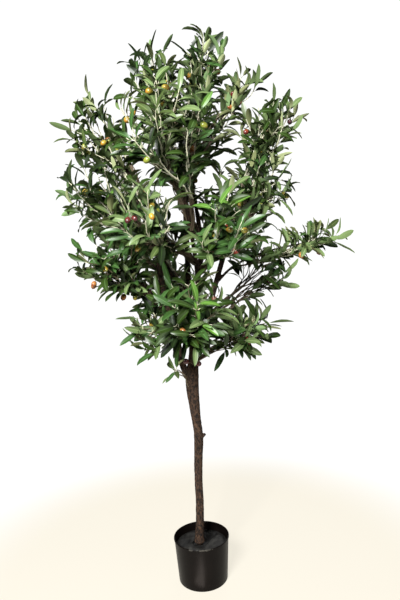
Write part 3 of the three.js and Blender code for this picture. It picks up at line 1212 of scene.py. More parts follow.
def outermost(mass, direction):
    """Where a line from a mass's centre leaves it."""
    outside = Vector(mass["centre"] + direction)
    place = mass["tree"].ray_cast(outside, -Vector(direction))[0]
    return np.array(place) if place else None


# Ranks of twig ends, the first served first: tips that stand out, ends that fill a thin place,
# the open outside of the crown, and its inside.
TIP, FILL, OUTER, INNER = range(4)
PROUD_TIP = 1.1  # a tip reaches this many times the mass's mean radius
TIP_APART = 60 * MM
TRIES = 260  # directions tried on each mass, and as many places inside it
OPEN_AHEAD = 30 * MM  # a direction is open if nothing of another mass lies this far ahead
INNER_REACH = 0.92  # the inside goes out to this share of a mass's radius
# Twigs that end beside a mass, where the crown would be too thin: [mass, x, y, z].
FILLED = (
    ("front_right_mass", 0.125, -0.07, 1.370),
    ("right_shoulder", 0.245, -0.02, 1.385),
    ("right_shoulder", 0.225, 0.04, 1.430),
    ("low_front_mass", 0.045, -0.250, 0.885),
    ("low_front_mass", 0.010, -0.230, 0.840),
    ("low_front_mass", -0.050, -0.190, 0.830),
    ("skirt_left_mass", -0.160, -0.060, 0.800),
    ("skirt_left_mass", -0.075, -0.100, 0.785),
    ("skirt_right_mass", 0.155, -0.120, 0.800),
    ("skirt_right_mass", 0.100, -0.110, 0.830),
    ("low_left_mass", -0.170, -0.090, 0.970),
    ("low_left_mass", -0.215, -0.020, 0.960),
    ("low_left_mass", -0.140, -0.100, 1.010),
    ("skirt_left_mass", -0.150, -0.030, 0.900),
    ("skirt_left_mass", -0.110, -0.090, 0.930),
    ("skirt_left_mass", -0.185, -0.040, 0.880),
    ("skirt_left_mass", -0.180, -0.020, 0.790),
    ("skirt_left_mass", -0.110, -0.080, 0.760),
    ("skirt_left_mass", -0.171, -0.060, 0.807),
    ("right_tip_pad", 0.500, -0.030, 1.130),
    ("top_tuft", 0.090, -0.030, 1.778),
    ("low_front_mass", -0.080, -0.170, 0.880),
    ("low_front_mass", 0.090, -0.200, 0.870),
    ("skirt_right_mass", 0.210, -0.090, 0.840),
    ("skirt_right_mass", 0.250, -0.020, 0.880),
    ("right_shoulder", 0.185, -0.030, 1.490),
    ("right_shoulder", 0.180, 0.050, 1.460),
    ("right_mass", 0.165, -0.040, 1.330),
    ("front_right_mass", 0.150, -0.120, 1.300),
)


def twig_ends(masses, settings, rng):
    """Where twigs end in each mass, by its name: places, ways out and ranks."""
    candidates = []
    for mass in masses.values():
        others = [other for other in masses.values() if other is not mass]
        reach = np.linalg.norm(mass["points"] - mass["centre"], axis=1)
        proud = [i for i in np.argsort(-reach) if reach[i] > PROUD_TIP * reach.mean()]
        places = [(TIP, mass["points"][i]) for i in proud]
        turn = rng.uniform(0, 2 * math.pi)
        for direction in spread_directions(TRIES, turn):
            surface = outermost(mass, direction)
            if surface is not None:
                places.append((OUTER, surface))
                share = INNER_REACH * rng.random() ** (1 / 3)
                places.append((INNER, mass["centre"] + (surface - mass["centre"]) * share))
        for rank, place in places:
            way = unit(place - mass["centre"])
            ahead = place + way * OPEN_AHEAD
            if rank != INNER and any(holds(other, ahead) for other in others):
                if rank == TIP:
                    continue
                rank = INNER
            candidates.append((rank, rng.random(), mass["name"], place, way))
    for name, *place in FILLED:
        way = unit(np.array(place) - masses[name]["centre"])
        candidates.append((FILL, rng.random(), name, np.array(place), way))
    candidates.sort(key=lambda item: item[:2])
    spacings = {
        TIP: TIP_APART,
        FILL: 0,
        OUTER: settings.outer_spacing,
        INNER: settings.inner_spacing,
    }
    taken = []
    ends = {name: [] for name in masses}
    for rank, _, name, place, way in candidates:
        if taken and np.linalg.norm(np.array(taken) - place, axis=1).min() < spacings[rank]:
            continue
        taken.append(place)
        ends[name].append((place, way, rank))
    return ends


TWIGS_PER_STEM = 4
BARE_BELOW = 220 * MM  # stems leave a limb from this far before it enters its mass
BARE_ROOT = 70 * MM  # a stem bears no leaves this near to its root
BARE_FORK = 15 * MM  # nor a twig this near past its fork
ROOT_BELOW = 60 * MM  # a stem's root lies at least this far below its end
STEM_LENGTH = 300 * MM  # the usual straight distance from a stem's root to its end
LENGTH_SPREAD = 50 * MM
# Masses that grow from the side of a limb that passes them, and where on it their stems root:
# from so far below the place nearest to the mass to so far above it.
PASSED = ("skirt_left_mass", "skirt_low_tuft")
PASSED_ROOTS = (60 * MM, 20 * MM)
STEM_SINK = 0.8  # a stem starts at this share of its limb's radius
STEM_ALONG, STEM_ASIDE, STEM_SCATTER = 0.9, 0.4, 0.1  # what a stem's or twig's first way mixes
STEM_CURVE = (0.36, 18)  # how long the curve holds its first and last ways, and its points
TWIG_CURVE = (0.34, 12)
STALK_CURVE = (0.3, 5)
FORKS = (0.2, 0.6)  # the shares of a stem between which its twigs leave it
LEAF_RUN = (140 * MM, 260 * MM)  # how much of a twig's end bears leaves

# Where a twig ends: how its last way leans, and how far it stops short of the mass's surface.
OUT_LEAN = 0.5  # outwards from the trunk
LEAST_RISE = -0.1  # no twig hangs further down than this
TIP_LIFT, TIP_INSET = 0.15, 0.8
LIFT_HEIGHTS = (0.85, 0.35)  # from this height, over so many metres, twigs stand up more
LOW_LIFT, MORE_LIFT = 0.35, 1.05
END_SCATTER = 0.2
LEAF_REACH = 0.5  # how far a twig's end stays inside the mass, in leaf lengths
LEAST_REACH, UNDERSIDE_REACH = 0.35, 0.4

WAY_STEP = 8 * MM  # the stretch of twig that gives its way at a pair
FACING_RISE = 0.4  # pairs face outwards, and so far up
PAIR_SWING = 0.6  # how far a pair's plane turns from the side, one way and then the other
PAIR_SCATTER = 0.3
PAIR_STEP = (0.75, 1.25)  # from one pair to the next, in pair spacings
CLOSE_STEP, TIP_STEP = 0.6, 1.5  # between the last two pairs, and so where a tip stands out
LYING_SPREAD = 0.3  # how much wider leaves spread from a lying twig than from an upright one
LYING = 0.8  # a twig that rises less than this counts as lying
LEAF_LIFT = (0.15, 0.9)  # how far a hanging leaf is turned up again
HANGING = 0.6  # a leaf that rises less than this counts as hanging
LEAST_BEND = 0.5  # the share of its bend that is left to a leaf that points down
BEND_RISES = (-0.5, 0.8)  # from this rise, over so much more, a leaf comes to its whole bend
LIGHT_WAY = 0.45 * UP  # leaves turn their tops to the light, from above and from outside
LIGHT_SCATTER = 0.35
TURNED = 0.7  # how far they do
LEAST_ARC = 1e-3  # radians, the least that a leaf bends, as its length is measured on an arc
# How leaves stand: least and most spread and bend in degrees, and size. At a tip that stands
# out, one leaf points on and the other arches over.
ALONG_TWIG = ((22, 52), (15, 95), 1.0)
AT_END = ((12, 42), (10, 90), 0.88)
POINTING_ON = ((14, 40), (0, 45), 0.95)
ARCHING_OVER = ((40, 70), (40, 90), 0.95)
LEAF_SIZES = (0.88, 1.12)
LEAF_CHECKS = (0.4, 0.75, 1)  # the shares of a leaf that are kept out of the clearings
LEAF_WIDTHS = (0.85, 1.15)
LEAF_TWIST = 22  # degrees
LEAF_FOLDS = (0.1, 0.55)

# How a mass differs: its leafy run, its leaves' lift and their size, as shares of the usual.
USUAL_HABIT = (1.0, 1.0, 1.0)
HABITS = {
    "low_front_mass": (1.0, 0.35, 1.08),
    "right_tip_pad": (0.8, 0.8, 1.0),
    "skirt_low_tuft": (0.8, 0.5, 0.8),
    "low_right_mass": (0.7, 1.2, 1.0),
    "skirt_right_mass": (0.8, 0.6, 1.15),
    "skirt_left_mass": (0.9, 0.8, 1.1),
}

STEM_RADIUS = (2.3 * MM, 1.5 * MM)
TWIG_RADIUS = (2.0 * MM, 1.3 * MM)
STALK_RADIUS = (0.8 * MM, 0.7 * MM)
WIRES_APART = 4 * MM  # between the wires of one stem, side by side up to their forks
SWAY = 4 * MM  # how far a wire, bent by hand, waves to the sides
SWAY_LENGTH = 60 * MM  # from one wave to the next
SWAY_RANGE = (0.8, 1.3)  # how that length varies, as shares
BROWN_ROOT = 130 * MM  # a wire's sleeve is brown this far from its root
PALE, BROWN = 0, 1  # marks of the sleeves

# Kinds of leaf: share of the lowest and of the highest twigs, and colours of the top, of its
# rib and of the underside. The young kind is given only to a few chosen twigs. The dark kind
# is painted shade: its nearly black leaves, dealt more to the high twigs, stand in for the
# shade deep inside the crown.
LEAF_KINDS = {
    # Painted shade: nearly black leaves in place of the shade inside the crown.
    "dark": (0.06, 0.36, "#17230e", "#2c3f20", "#55663f"),
    "deep": (0.41, 0.26, "#26390f", "#435c30", "#667a4c"),
    "green": (0.38, 0.18, "#2f4c20", "#4a6a3a", "#728c5c"),
    "olive": (0.05, 0.18, "#3e4d26", "#5c6a3e", "#7f865b"),
    "sage": (0.11, 0.14, "#586b40", "#788a59", "#9fa87b"),
    "young": (0.0, 0.0, "#4a7029", "#74964a", "#6a874b"),
}
KIND_HEIGHTS = (0.8, 0.8)  # their shares change from this height, over so many metres

# Kinds of olive: share of the fruit at the upper left and at the lower right, and colours of
# the body, of the stalk end and of the tip.
OLIVE_KINDS = {
    "golden": (0.46, 0.06, "#a88f38", "#929246", "#a8792e"),
    "green": (0.24, 0.06, "#868c38", "#708338", "#a4933c"),
    "amber": (0.22, 0.16, "#a16a38", "#a0883f", "#7f4827"),
    "russet": (0.04, 0.26, "#7e3626", "#975a37", "#5e2420"),
    "maroon": (0.04, 0.28, "#5c2624", "#743d34", "#441d22"),
    "purple": (0.0, 0.18, "#3c2327", "#572f34", "#2a1b24"),
}

GROWN = {}  # the crowns grown so far, by the values of their settings


def grown_crown(settings):
    """The crown of these settings, grown once for all the pieces that are made of it."""
    values = tuple(getattr(settings, name) for name in settings.__annotations__)
    if values not in GROWN:
        GROWN[values] = grow_crown(settings)
    return GROWN[values]


def grow_crown(settings):
    """Grows stems, leaves and olives from the limbs to the masses' surfaces."""
    rng = np.random.default_rng(settings.seed)
    names = [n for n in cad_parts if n.endswith(("mass", "tuft", "shoulder", "pad"))]
    masses = {name: mass_shape(name) for name in names}
    limbs = limb_paths()
    ends = twig_ends(masses, settings, rng)
    crown = {"stems": [], "leaves": [], "olives": []}
    for name, mass in masses.items():
        limb = limbs[BOUGH_OF.get(name, f"{name}_branch")]
        waiting = ends[name]
        while waiting:
            waiting = grow_stem(crown, mass, limb, waiting, settings, rng)
    for end in TRUNK_OLIVES:
        hang_olive(crown, masses["skirt_low_tuft"], *map(np.array, end), "maroon", rng)
    freshen(crown)
    return crown


# Two olives on stalks of their own where the trunk forks: each stalk's start and end.
TRUNK_OLIVES = (
    ((0.004, -0.022, 0.742), (-0.012, -0.050, 0.757)),
    ((0.008, -0.020, 0.738), (0.019, -0.044, 0.747)),
)

# Where the bright young leaves stand, at the ends of the twigs nearest to these places.
YOUNG_PLACES = (
    (0.015, -0.31, 0.915),
    (0.07, -0.31, 0.88),
    (-0.015, -0.28, 0.97),
    (0.115, -0.28, 1.09),
    (0.075, -0.27, 1.19),
    (-0.215, -0.15, 1.19),
    (0.17, -0.20, 1.235),
    (0.065, -0.20, 1.45),
    (-0.10, 0.30, 1.10),
    (0.12, 0.28, 1.32),
    (-0.28, 0.12, 1.35),
    (0.30, 0.08, 1.02),
)


def freshen(crown):
    """Turns the leaves at the ends of a few twigs into young ones."""
    young = list(LEAF_KINDS).index("young")
    tips = [leaf for leaf in crown["leaves"] if leaf["pair"] == 0]
    places = np.array([leaf["place"] for leaf in tips])
    for place in YOUNG_PLACES:
        apart = np.linalg.norm(places - place, axis=1)
        for leaf, distance in zip(tips, apart):
            if distance < apart.min() + 1 * MM:
                leaf["kind"] = young


def outward_from(place):
    """The level way from the trunk's upright line out to a place."""
    return unit(np.array([*place[:2], 0.0]))


def rooting_place(mass, limb, goal, rng):
    """The place on a limb's surface that a stem starts from, and the limb's way there."""
    path, radii = limb["path"], limb["radii"]
    # Where on the limb the stem may root, by the mass.
    if mass["name"] in PASSED:
        nearest = int(np.linalg.norm(path - mass["centre"], axis=1).argmin())
        below, above = (int(length / LIMB_STEP) for length in PASSED_ROOTS)
        first, last = nearest - below, nearest + above
    else:
        first = limb["entered"] - int(BARE_BELOW / LIMB_STEP)
        last = len(path) - 2
    spots = np.arange(max(1, first), max(2, last))
    low_enough = spots[path[spots, 2] < goal[2] - ROOT_BELOW]
    spots = low_enough if len(low_enough) else spots[: max(1, len(spots) // 3)]
    distance = np.linalg.norm(path[spots] - goal, axis=1)
    weights = np.exp(-(((distance - STEM_LENGTH) / LENGTH_SPREAD) ** 2)) + 1e-6
    spot = int(rng.choice(spots, p=weights / weights.sum()))
    way = unit(path[spot + 1] - path[spot - 1])
    aside = goal - path[spot]
    aside = unit(aside - way * aside.dot(way))
    return path[spot] + aside * radii[spot] * STEM_SINK, way, aside


def twig_goal(end, settings, rng):
    """Where a twig ends, short of its leaf tips, and the way it points there."""
    place, way, rank = end
    # No twig hangs down: below a mass they turn outwards.
    leaning = way * (1, 1, 0) + OUT_LEAN * outward_from(place) + UP * max(way[2], LEAST_RISE)
    leaning = unit(leaning)
    if rank == TIP:
        return place - way * settings.leaf_length * TIP_INSET, unit(leaning + TIP_LIFT * UP)
    # Low twigs lean out and forwards; the higher ones stand up.
    lift = LOW_LIFT + MORE_LIFT * share_of(place[2], *LIFT_HEIGHTS)
    final = unit(leaning + UP * lift + rng.normal(0, END_SCATTER, 3))
    if rank == INNER:
        return place, final
    inset = LEAF_REACH * max(LEAST_REACH, final.dot(way)) + UNDERSIDE_REACH * max(0, -way[2])
    return place - way * inset * settings.leaf_length, final


def swayed(path, rng):
    """A path with slight level waves in it, its ends left in place."""
    lengths = path_lengths(path)
    held = np.sin(np.linspace(0, math.pi, len(path)))
    path = path.copy()
    for axis in (0, 1):
        pace = 2 * math.pi / (SWAY_LENGTH * rng.uniform(*SWAY_RANGE))
        path[:, axis] += SWAY * held * np.sin(lengths * pace + rng.uniform(0, 2 * math.pi))
    return path


def add_wire(crown, mass, path, radii):
    """Adds a stem, twig or stalk: brown near its root, and all along in the low masses."""
    low = mass["name"].startswith(("low", "skirt"))
    lengths = path_lengths(path)[1:]
    tints = np.full(len(lengths), BROWN if low else PALE)
    tints[lengths < BROWN_ROOT] = BROWN
    crown["stems"].append({"path": path, "radii": radii, "tints": tints})


def grow_stem(crown, mass, limb, waiting, settings, rng):
    """Grows one stem and its twigs to the nearest few waiting ends, and gives the rest back."""
    leader = waiting[0]
    others = sorted(waiting[1:], key=lambda end: np.linalg.norm(end[0] - leader[0]))
    chosen, rest = others[: TWIGS_PER_STEM - 1], others[TWIGS_PER_STEM - 1 :]
    goal, final = twig_goal(leader, settings, rng)
    root, limb_way, aside = rooting_place(mass, limb, goal, rng)
    scatter = rng.normal(0, STEM_SCATTER, 3)
    start_way = unit(limb_way * STEM_ALONG + aside * STEM_ASIDE + scatter)
    stem = curve_between(root, start_way, goal, final, *STEM_CURVE)
    leading = swayed(stem, rng)
    add_wire(crown, mass, leading, STEM_RADIUS)
    grow_leaves(crown, mass, leading, BARE_ROOT, leader[2], settings, rng)
    forks = np.sort(rng.uniform(*FORKS, len(chosen)))
    chosen.sort(key=lambda end: np.linalg.norm(end[0] - root))
    turn = rng.uniform(0, 2 * math.pi)
    for number, (fork, end) in enumerate(zip(forks, chosen)):
        spot = max(2, int(fork * (len(stem) - 1)))
        angle = turn + number * 2 * math.pi / (TWIGS_PER_STEM - 1)
        beside = stem[: spot + 1] + WIRES_APART * np.array([math.cos(angle), math.sin(angle), 0])
        stem_way = unit(stem[spot + 1] - stem[spot])
        goal, final = twig_goal(end, settings, rng)
        leaving = unit(stem_way * STEM_ALONG + unit(goal - stem[spot]) * STEM_ASIDE)
        onward = curve_between(beside[-1], leaving, goal, final, *TWIG_CURVE)
        twig = swayed(np.vstack([beside[:-1], onward]), rng)
        add_wire(crown, mass, twig, TWIG_RADIUS)
        bare = path_lengths(beside)[-1] + BARE_FORK
        grow_leaves(crown, mass, twig, bare, end[2], settings, rng)
    return rest


def dealt_kind(kinds, share, rng):
    """The number of a kind, drawn by shares that go from each kind's first to its second."""
    first, second = np.array([row[:2] for row in kinds.values()]).T
    shares = first + (second - first) * share
    return rng.choice(len(kinds), p=shares / shares.sum())


def grow_leaves(crown, mass, twig, bare, rank, settings, rng):
    """Sets opposite pairs of leaves along a twig's end, and now and then olives."""
    leafy_share = HABITS.get(mass["name"], USUAL_HABIT)[0]
    outward = outward_from(twig[-1])
    facing = unit(outward + FACING_RISE * UP)
    kind = dealt_kind(LEAF_KINDS, share_of(twig[-1, 2], *KIND_HEIGHTS), rng)
    lengths = path_lengths(twig)
    at, pair = lengths[-1], 0
    lowest = max(at - leafy_share * rng.uniform(*LEAF_RUN), bare)
    swing = rng.choice((-1, 1))
    fruiting = rng.random() < settings.fruit_share
    fruit_pair = rng.integers(1, 3)
    while pair < 1 or at > lowest:
        place, before = (
            np.array([np.interp(spot, lengths, twig[:, k]) for k in range(3)])
            for spot in (at, at - WAY_STEP)
        )
        way = unit(place - before)
        # Pairs stand to the left and right of the twig, seen from outside, so the wire shows.
        side = unit(np.cross(way, facing))
        other = np.cross(way, side)
        for half in (0, 1):
            turn = swing * PAIR_SWING + half * math.pi + rng.normal(0, PAIR_SCATTER)
            out = math.cos(turn) * side + math.sin(turn) * other
            habit = leaf_habit(pair, half, rank, rng)
            leaf = grown_leaf(mass["name"], place, way, out, outward, habit, settings, rng)
            if leaf:
                crown["leaves"].append({**leaf, "kind": kind, "pair": pair})
        if fruiting and pair == fruit_pair:
            grow_olives(crown, mass, place, way, side, other, rng)
        swing = -swing
        at -= settings.pair_spacing * pair_step(pair, rank, rng)
        pair += 1


def pair_step(pair, rank, rng):
    """How far back the next pair of leaves stands, in pair spacings."""
    if pair:
        return rng.uniform(*PAIR_STEP)
    # The last two pairs stand close together, but not where a tip stands out.
    return TIP_STEP if rank == TIP else CLOSE_STEP


def leaf_habit(pair, half, rank, rng):
    """How far a leaf spreads from its twig and bends, in radians, and its size."""
    if pair > 0:
        spreads, bends, size = ALONG_TWIG
    elif rank != TIP:
        spreads, bends, size = AT_END
    else:
        spreads, bends, size = ARCHING_OVER if half else POINTING_ON
    spread, bend = rng.uniform(*spreads), rng.uniform(*bends)
    return math.radians(spread), math.radians(bend), size * rng.uniform(*LEAF_SIZES)


def grown_leaf(mass_name, place, way, out, outward, habit, settings, rng):
    """A leaf that spreads out from its twig, or None where it would be in the way."""
    spread, bend, size = habit
    _, mass_lift, mass_size = HABITS.get(mass_name, USUAL_HABIT)
    size *= mass_size
    spread += LYING_SPREAD * max(0, LYING - way[2])
    direction = math.cos(spread) * way + math.sin(spread) * out
    # No leaf hangs straight down: the low ones turn up to the light.
    lift = mass_lift * rng.uniform(*LEAF_LIFT) * max(0, HANGING - direction[2])
    direction = unit(direction + lift * UP)
    bend *= LEAST_BEND + (1 - LEAST_BEND) * share_of(direction[2], *BEND_RISES)
    normal = unit(way - direction * way.dot(direction))
    light = unit(LIGHT_WAY + outward + rng.normal(0, LIGHT_SCATTER, 3))
    normal = unit(normal + TURNED * (light - direction * direction.dot(light)))
    length = settings.leaf_length * size
    ahead = direction * math.sin(bend) - normal * (1 - math.cos(bend))
    tip = place + ahead * length / max(bend, LEAST_ARC)
    if outside_room(tip) or any(in_clearing(place + (tip - place) * t) for t in LEAF_CHECKS):
        return None
    return {
        "mass": mass_name,
        "place": place,
        "direction": direction,
        "normal": normal,
        "size": size,
        "width": rng.uniform(*LEAF_WIDTHS),
        "bend": bend,
        "twist": math.radians(rng.normal(0, LEAF_TWIST)),
        "fold": rng.uniform(*LEAF_FOLDS),
        "wave": rng.uniform(0, 2 * math.pi),
    }


# Where one sees through the crown from the front: [x, z, half width, half height].
CLEARINGS = (
    (0.160, 0.985, 0.050, 0.030),
    (0.200, 1.020, 0.040, 0.022),
    (-0.190, 1.540, 0.022, 0.026),
    (-0.245, 1.490, 0.020, 0.022),
    (-0.145, 1.480, 0.014, 0.016),
    (-0.105, 1.430, 0.014, 0.020),
    (0.040, 1.420, 0.016, 0.018),
    (-0.005, 1.425, 0.010, 0.020),
    (-0.105, 1.370, 0.018, 0.014),
    (-0.235, 1.325, 0.014, 0.016),
    (0.065, 1.325, 0.016, 0.018),
    (-0.030, 1.290, 0.020, 0.024),
    (-0.030, 1.210, 0.022, 0.028),
    (0.045, 1.200, 0.020, 0.030),
    (-0.130, 1.210, 0.014, 0.020),
    (-0.045, 1.150, 0.020, 0.018),
    (0.235, 1.560, 0.020, 0.020),
)
EYE = np.array([0.04, -1.7, 1.13])  # where the clearings are seen from, in front of the tree


def in_clearing(place):
    """Whether a place hides what is seen through one of the clearings."""
    seen = EYE + (place - EYE) * -EYE[1] / (place[1] - EYE[1])
    return any(
        ((seen[0] - x) / wide) ** 2 + ((seen[2] - z) / high) ** 2 < 1
        for x, z, wide, high in CLEARINGS
    )


LEAF_ROOM = 20 * MM  # a leaf's tip reaches no further than this past the frame's box


def outside_room(place):
    """Whether a place is too far outside the frame's box for a leaf's tip."""
    low, high = np.array(CAD_BOX)
    return bool((place < low - LEAF_ROOM).any() or (place > high + LEAF_ROOM).any())


RIPENING = 0.7  # metres over which the fruit turns from unripe to ripe, down and to the right
HALF_RIPE = 1.15  # the height at which it is half ripe over the pot
LONE_SHARE = 0.6  # share of the fruiting pairs that bear one olive and not two
STALK_LENGTHS = (9, 16)  # millimetres
STALK_RISE, STALK_FALL = 0.3, 0.6  # how far a stalk follows its twig, and how far it hangs
STALK_HUMP = 0.8  # how far a stalk rises before it hangs
OLIVE_SIZES = (0.9, 1.08)


def grow_olives(crown, mass, place, way, side, other, rng):
    """Hangs one or two olives of one kind on short stalks."""
    ripe = min(max(0.5 + (place[0] + HALF_RIPE - place[2]) / RIPENING, 0), 1)
    kind = list(OLIVE_KINDS)[dealt_kind(OLIVE_KINDS, ripe, rng)]
    for _ in range(1 if rng.random() < LONE_SHARE else 2):
        turn = rng.uniform(0, 2 * math.pi)
        out = math.cos(turn) * side + math.sin(turn) * other
        hang = unit(out + STALK_RISE * way - STALK_FALL * UP)
        end = place + hang * rng.uniform(*STALK_LENGTHS) * MM
        hang_olive(crown, mass, place, end, kind, rng)


def hang_olive(crown, mass, start, end, kind, rng):
    """Hangs one olive at the end of a thin stalk."""
    way = unit(end - start)
    path = curve_between(start, unit(way + STALK_HUMP * UP), end, way, *STALK_CURVE)
    add_wire(crown, mass, path, STALK_RADIUS)
    size = rng.uniform(*OLIVE_SIZES)
    number = list(OLIVE_KINDS).index(kind)
    crown["olives"].append({"place": end, "way": way, "size": size, "kind": number})


# ---------------------------------------------------------------- stems, leaves and olives


# Colours of the wires' sleeves: brown near their roots and in the low masses, pale elsewhere.
SLEEVES = {"pale": "#bcbaa0", "brown": "#675a48"}


def wire_sleeve(tint):
    # Soft extruded polythene over steel wire: slightly waxy.
    return principled(
        f"polythene_sleeve_{tint}",
        {"Base Color": colour(SLEEVES[tint]), "Roughness": 0.55, "Specular IOR Level": 0.3},
    )[0]


class OLIVE_OT_stems(Operator):
    """Draws the sleeved wires of every stem, twig and olive stalk as one mesh"""

    bl_idname = "olive.stems"
    bl_label = "Stems"

    SIDES = 6

    def execute(self, context):
        crown = grown_crown(context.scene.olive_foliage)
        parts, marks = [], []
        for stem in crown["stems"]:
            path = stem["path"]
            parts.append(tube(path, np.linspace(*stem["radii"], len(path)), self.SIDES))
            tints = stem["tints"]
            marks.extend([tints[0], *tints, tints[-1]] * self.SIDES)
        piece = mesh_object("stems", *gathered(parts), marks)
        finish_piece(piece, "stems", [wire_sleeve(tint) for tint in SLEEVES], [])
        return {"FINISHED"}


LEAF_COLUMNS, LEAF_BANDS = 3, 7
# Width of a leaf along its length, as a share of its greatest width, from its stalk to its tip.
LEAF_OUTLINE = (0.12, 0.1, 0.5, 0.86, 1.0, 0.88, 0.52, 0.05)
LEAF_STATIONS = (0, 0.16, 0.25, 0.38, 0.55, 0.76, 0.91, 1.0)
STALK_END = 0.15  # the share of a leaf's length that is its stalk
RIB_SHARE = 0.11  # the rib's width as a share of the leaf's
LEAF_THICKNESS = 0.9 * MM
RUFFLE = 0.12  # height of the waves along a leaf's edges, as a share of the distance out
RUFFLES = 1.4  # waves along a leaf
RUFFLE_LAG = 3  # radians by which each edge leads or lags

TOP, RIB, UNDER, STALK = range(4)  # marks of a leaf's faces


def leaf_pattern():
    """One flat leaf of unit length and width along +Y: points, faces and their marks."""
    deselect_all()
    bpy.ops.mesh.primitive_grid_add(
        x_subdivisions=LEAF_COLUMNS, y_subdivisions=LEAF_BANDS, size=1
    )
    leaf = bpy.context.object
    bpy.ops.object.mode_set(mode="EDIT")
    bpy.ops.mesh.select_mode(type="VERT")
    # The two inner lines of points are drawn together into the rib's edges.
    select_corners(leaf, lambda place: abs(place.x) < 1 / LEAF_COLUMNS)
    bpy.ops.transform.resize(value=(RIB_SHARE * LEAF_COLUMNS, 1, 1))
    for band, width in enumerate(LEAF_OUTLINE):
        level = band / LEAF_BANDS - 0.5
        select_corners(leaf, lambda place: abs(place.y - level) < 0.01)
        bpy.ops.transform.resize(value=(width, 1, 1))
    # A copy turned over and pressed down in the middle closes the leaf from below.
    bpy.ops.mesh.select_all(action="SELECT")
    bpy.ops.mesh.duplicate()
    bpy.ops.mesh.flip_normals()
    bpy.ops.object.mode_set(mode="OBJECT")
    mesh = leaf.data
    row = LEAF_COLUMNS + 1  # points across the leaf
    half = len(mesh.vertices) // 2
    rim = {i for i in range(half) if i % row in (0, row - 1) or i < row or i >= half - row}
    points = np.array([corner.co for corner in mesh.vertices])
    bands = np.rint((points[:, 1] + 0.5) * LEAF_BANDS).astype(int)
    points[:, 1] = np.array(LEAF_STATIONS)[bands]
    points[half:, 2] = [0 if i in rim else -1 for i in range(half)]
    faces, marks = [], []
    for polygon in mesh.polygons:
        corners = list(polygon.vertices)
        faces.append([i - half if i >= half and i - half in rim else i for i in corners])
        if points[corners, 1].mean() < STALK_END:
            marks.append(STALK)
        elif min(corners) >= half:
            marks.append(UNDER)
        else:
            marks.append(RIB if abs(points[corners, 0].mean()) < 1e-6 else TOP)
    bpy.data.objects.remove(leaf)
    used = sorted({i for face in faces for i in face})
    renumbered = {old: new for new, old in enumerate(used)}
    return points[used], [[renumbered[i] for i in face] for face in faces], np.array(marks)


def spread_leaves(leaves, pattern, settings):
    """Every leaf's points: the pattern bent, twisted, folded and set on its twig."""
    points, faces, marks = pattern

    def column(key):
        return np.array([leaf[key] for leaf in leaves])[:, None]

    size = column("size")
    length = settings.leaf_length * size
    width = settings.leaf_width * size * column("width")
    x, y, z = points.T[:, None, :]
    bend = np.maximum(column("bend"), LEAST_ARC)
    angle = bend * y
    direction, normal = column("direction"), column("normal")
    side = np.cross(direction, normal)
    ahead = (length * np.sin(angle) / bend)[..., None]
    down = (length * (1 - np.cos(angle)) / bend)[..., None]
    middle = column("place") + ahead * direction - down * normal
    raised = np.cos(angle)[..., None] * normal + np.sin(angle)[..., None] * direction
    twist = (column("twist") * y)[..., None]
    beside = np.cos(twist) * side + np.sin(twist) * raised
    raised = np.cos(twist) * raised - np.sin(twist) * side
    aside = x * width
    phase = column("wave") + RUFFLE_LAG * np.sign(x)
    ruffle = RUFFLE * np.sin(2 * math.pi * RUFFLES * y + phase)
    lift = np.abs(aside) * (column("fold") + ruffle) + z * LEAF_THICKNESS
    placed = middle + aside[..., None] * beside + lift[..., None] * raised
    starts = np.arange(len(leaves)) * len(points)
    all_faces = [[start + corner for corner in face] for start in starts for face in faces]
    # Each kind has a material for its top, rib and underside, and all share the stalk's.
    all_marks = column("kind") * STALK + marks
    all_marks[:, marks == STALK] = STALK * len(LEAF_KINDS)
    return placed.reshape(-1, 3), all_faces, all_marks.ravel()


def coated_cloth(kind):
    # Printed polyester cloth, glazed on top: a soft gloss above, dull and pale below.
    *_, top, rib, underside = LEAF_KINDS[kind]
    top_side = principled(
        f"glazed_cloth_{kind}",
        {"Base Color": colour(top), "Roughness": 0.4, "IOR": 1.45, "Specular IOR Level": 0.5},
    )[0]
    rib_line = principled(
        f"pressed_rib_{kind}",
        {"Base Color": colour(rib), "Roughness": 0.5, "Specular IOR Level": 0.2},
    )[0]
    under_side = principled(
        f"dull_cloth_{kind}",
        {"Base Color": colour(underside), "Roughness": 0.8, "Specular IOR Level": 0.15},
    )[0]
    return [top_side, rib_line, under_side]


class OLIVE_OT_leaves(Operator):
    """Sets every leaf of the crown, in four pieces from the skirt to the top"""

    bl_idname = "olive.leaves"
    bl_label = "Leaves"

    # Each piece's name, and the height from which a mass's leaves belong to it.
    LEVELS = (
        ("leaves_skirt", 0.0),
        ("leaves_lower", 1.06),
        ("leaves_middle", 1.2),
        ("leaves_upper", 1.4),
    )

    def execute(self, context):
        settings = context.scene.olive_foliage
        crown = grown_crown(settings)
        pattern = leaf_pattern()
        materials = [material for kind in LEAF_KINDS for material in coated_cloth(kind)]
        materials.append(wire_sleeve("pale"))
        names = {leaf["mass"] for leaf in crown["leaves"]}
        level_of = {
            name: max(i for i, (_, low) in enumerate(self.LEVELS) if mass_centre(name)[2] > low)
            for name in names
        }
        for level, (piece_name, _) in enumerate(self.LEVELS):
            leaves = [leaf for leaf in crown["leaves"] if level_of[leaf["mass"]] == level]
            piece = mesh_object(piece_name, *spread_leaves(leaves, pattern, settings))
            replaced = sorted(name for name in names if level_of[name] == level)
            finish_piece(piece, piece_name, materials, replaced, 50)
        return {"FINISHED"}


OLIVE_PARTS = ("body", "stalk_end", "tip")
OLIVE_ENDS = (0.22, 0.78)  # the shares of its length where the stalk end stops and the tip starts
OLIVE_DIMPLE, OLIVE_POINT = 0.06, 0.05
STALK_SINK = 1 * MM  # how far a stalk goes into its olive


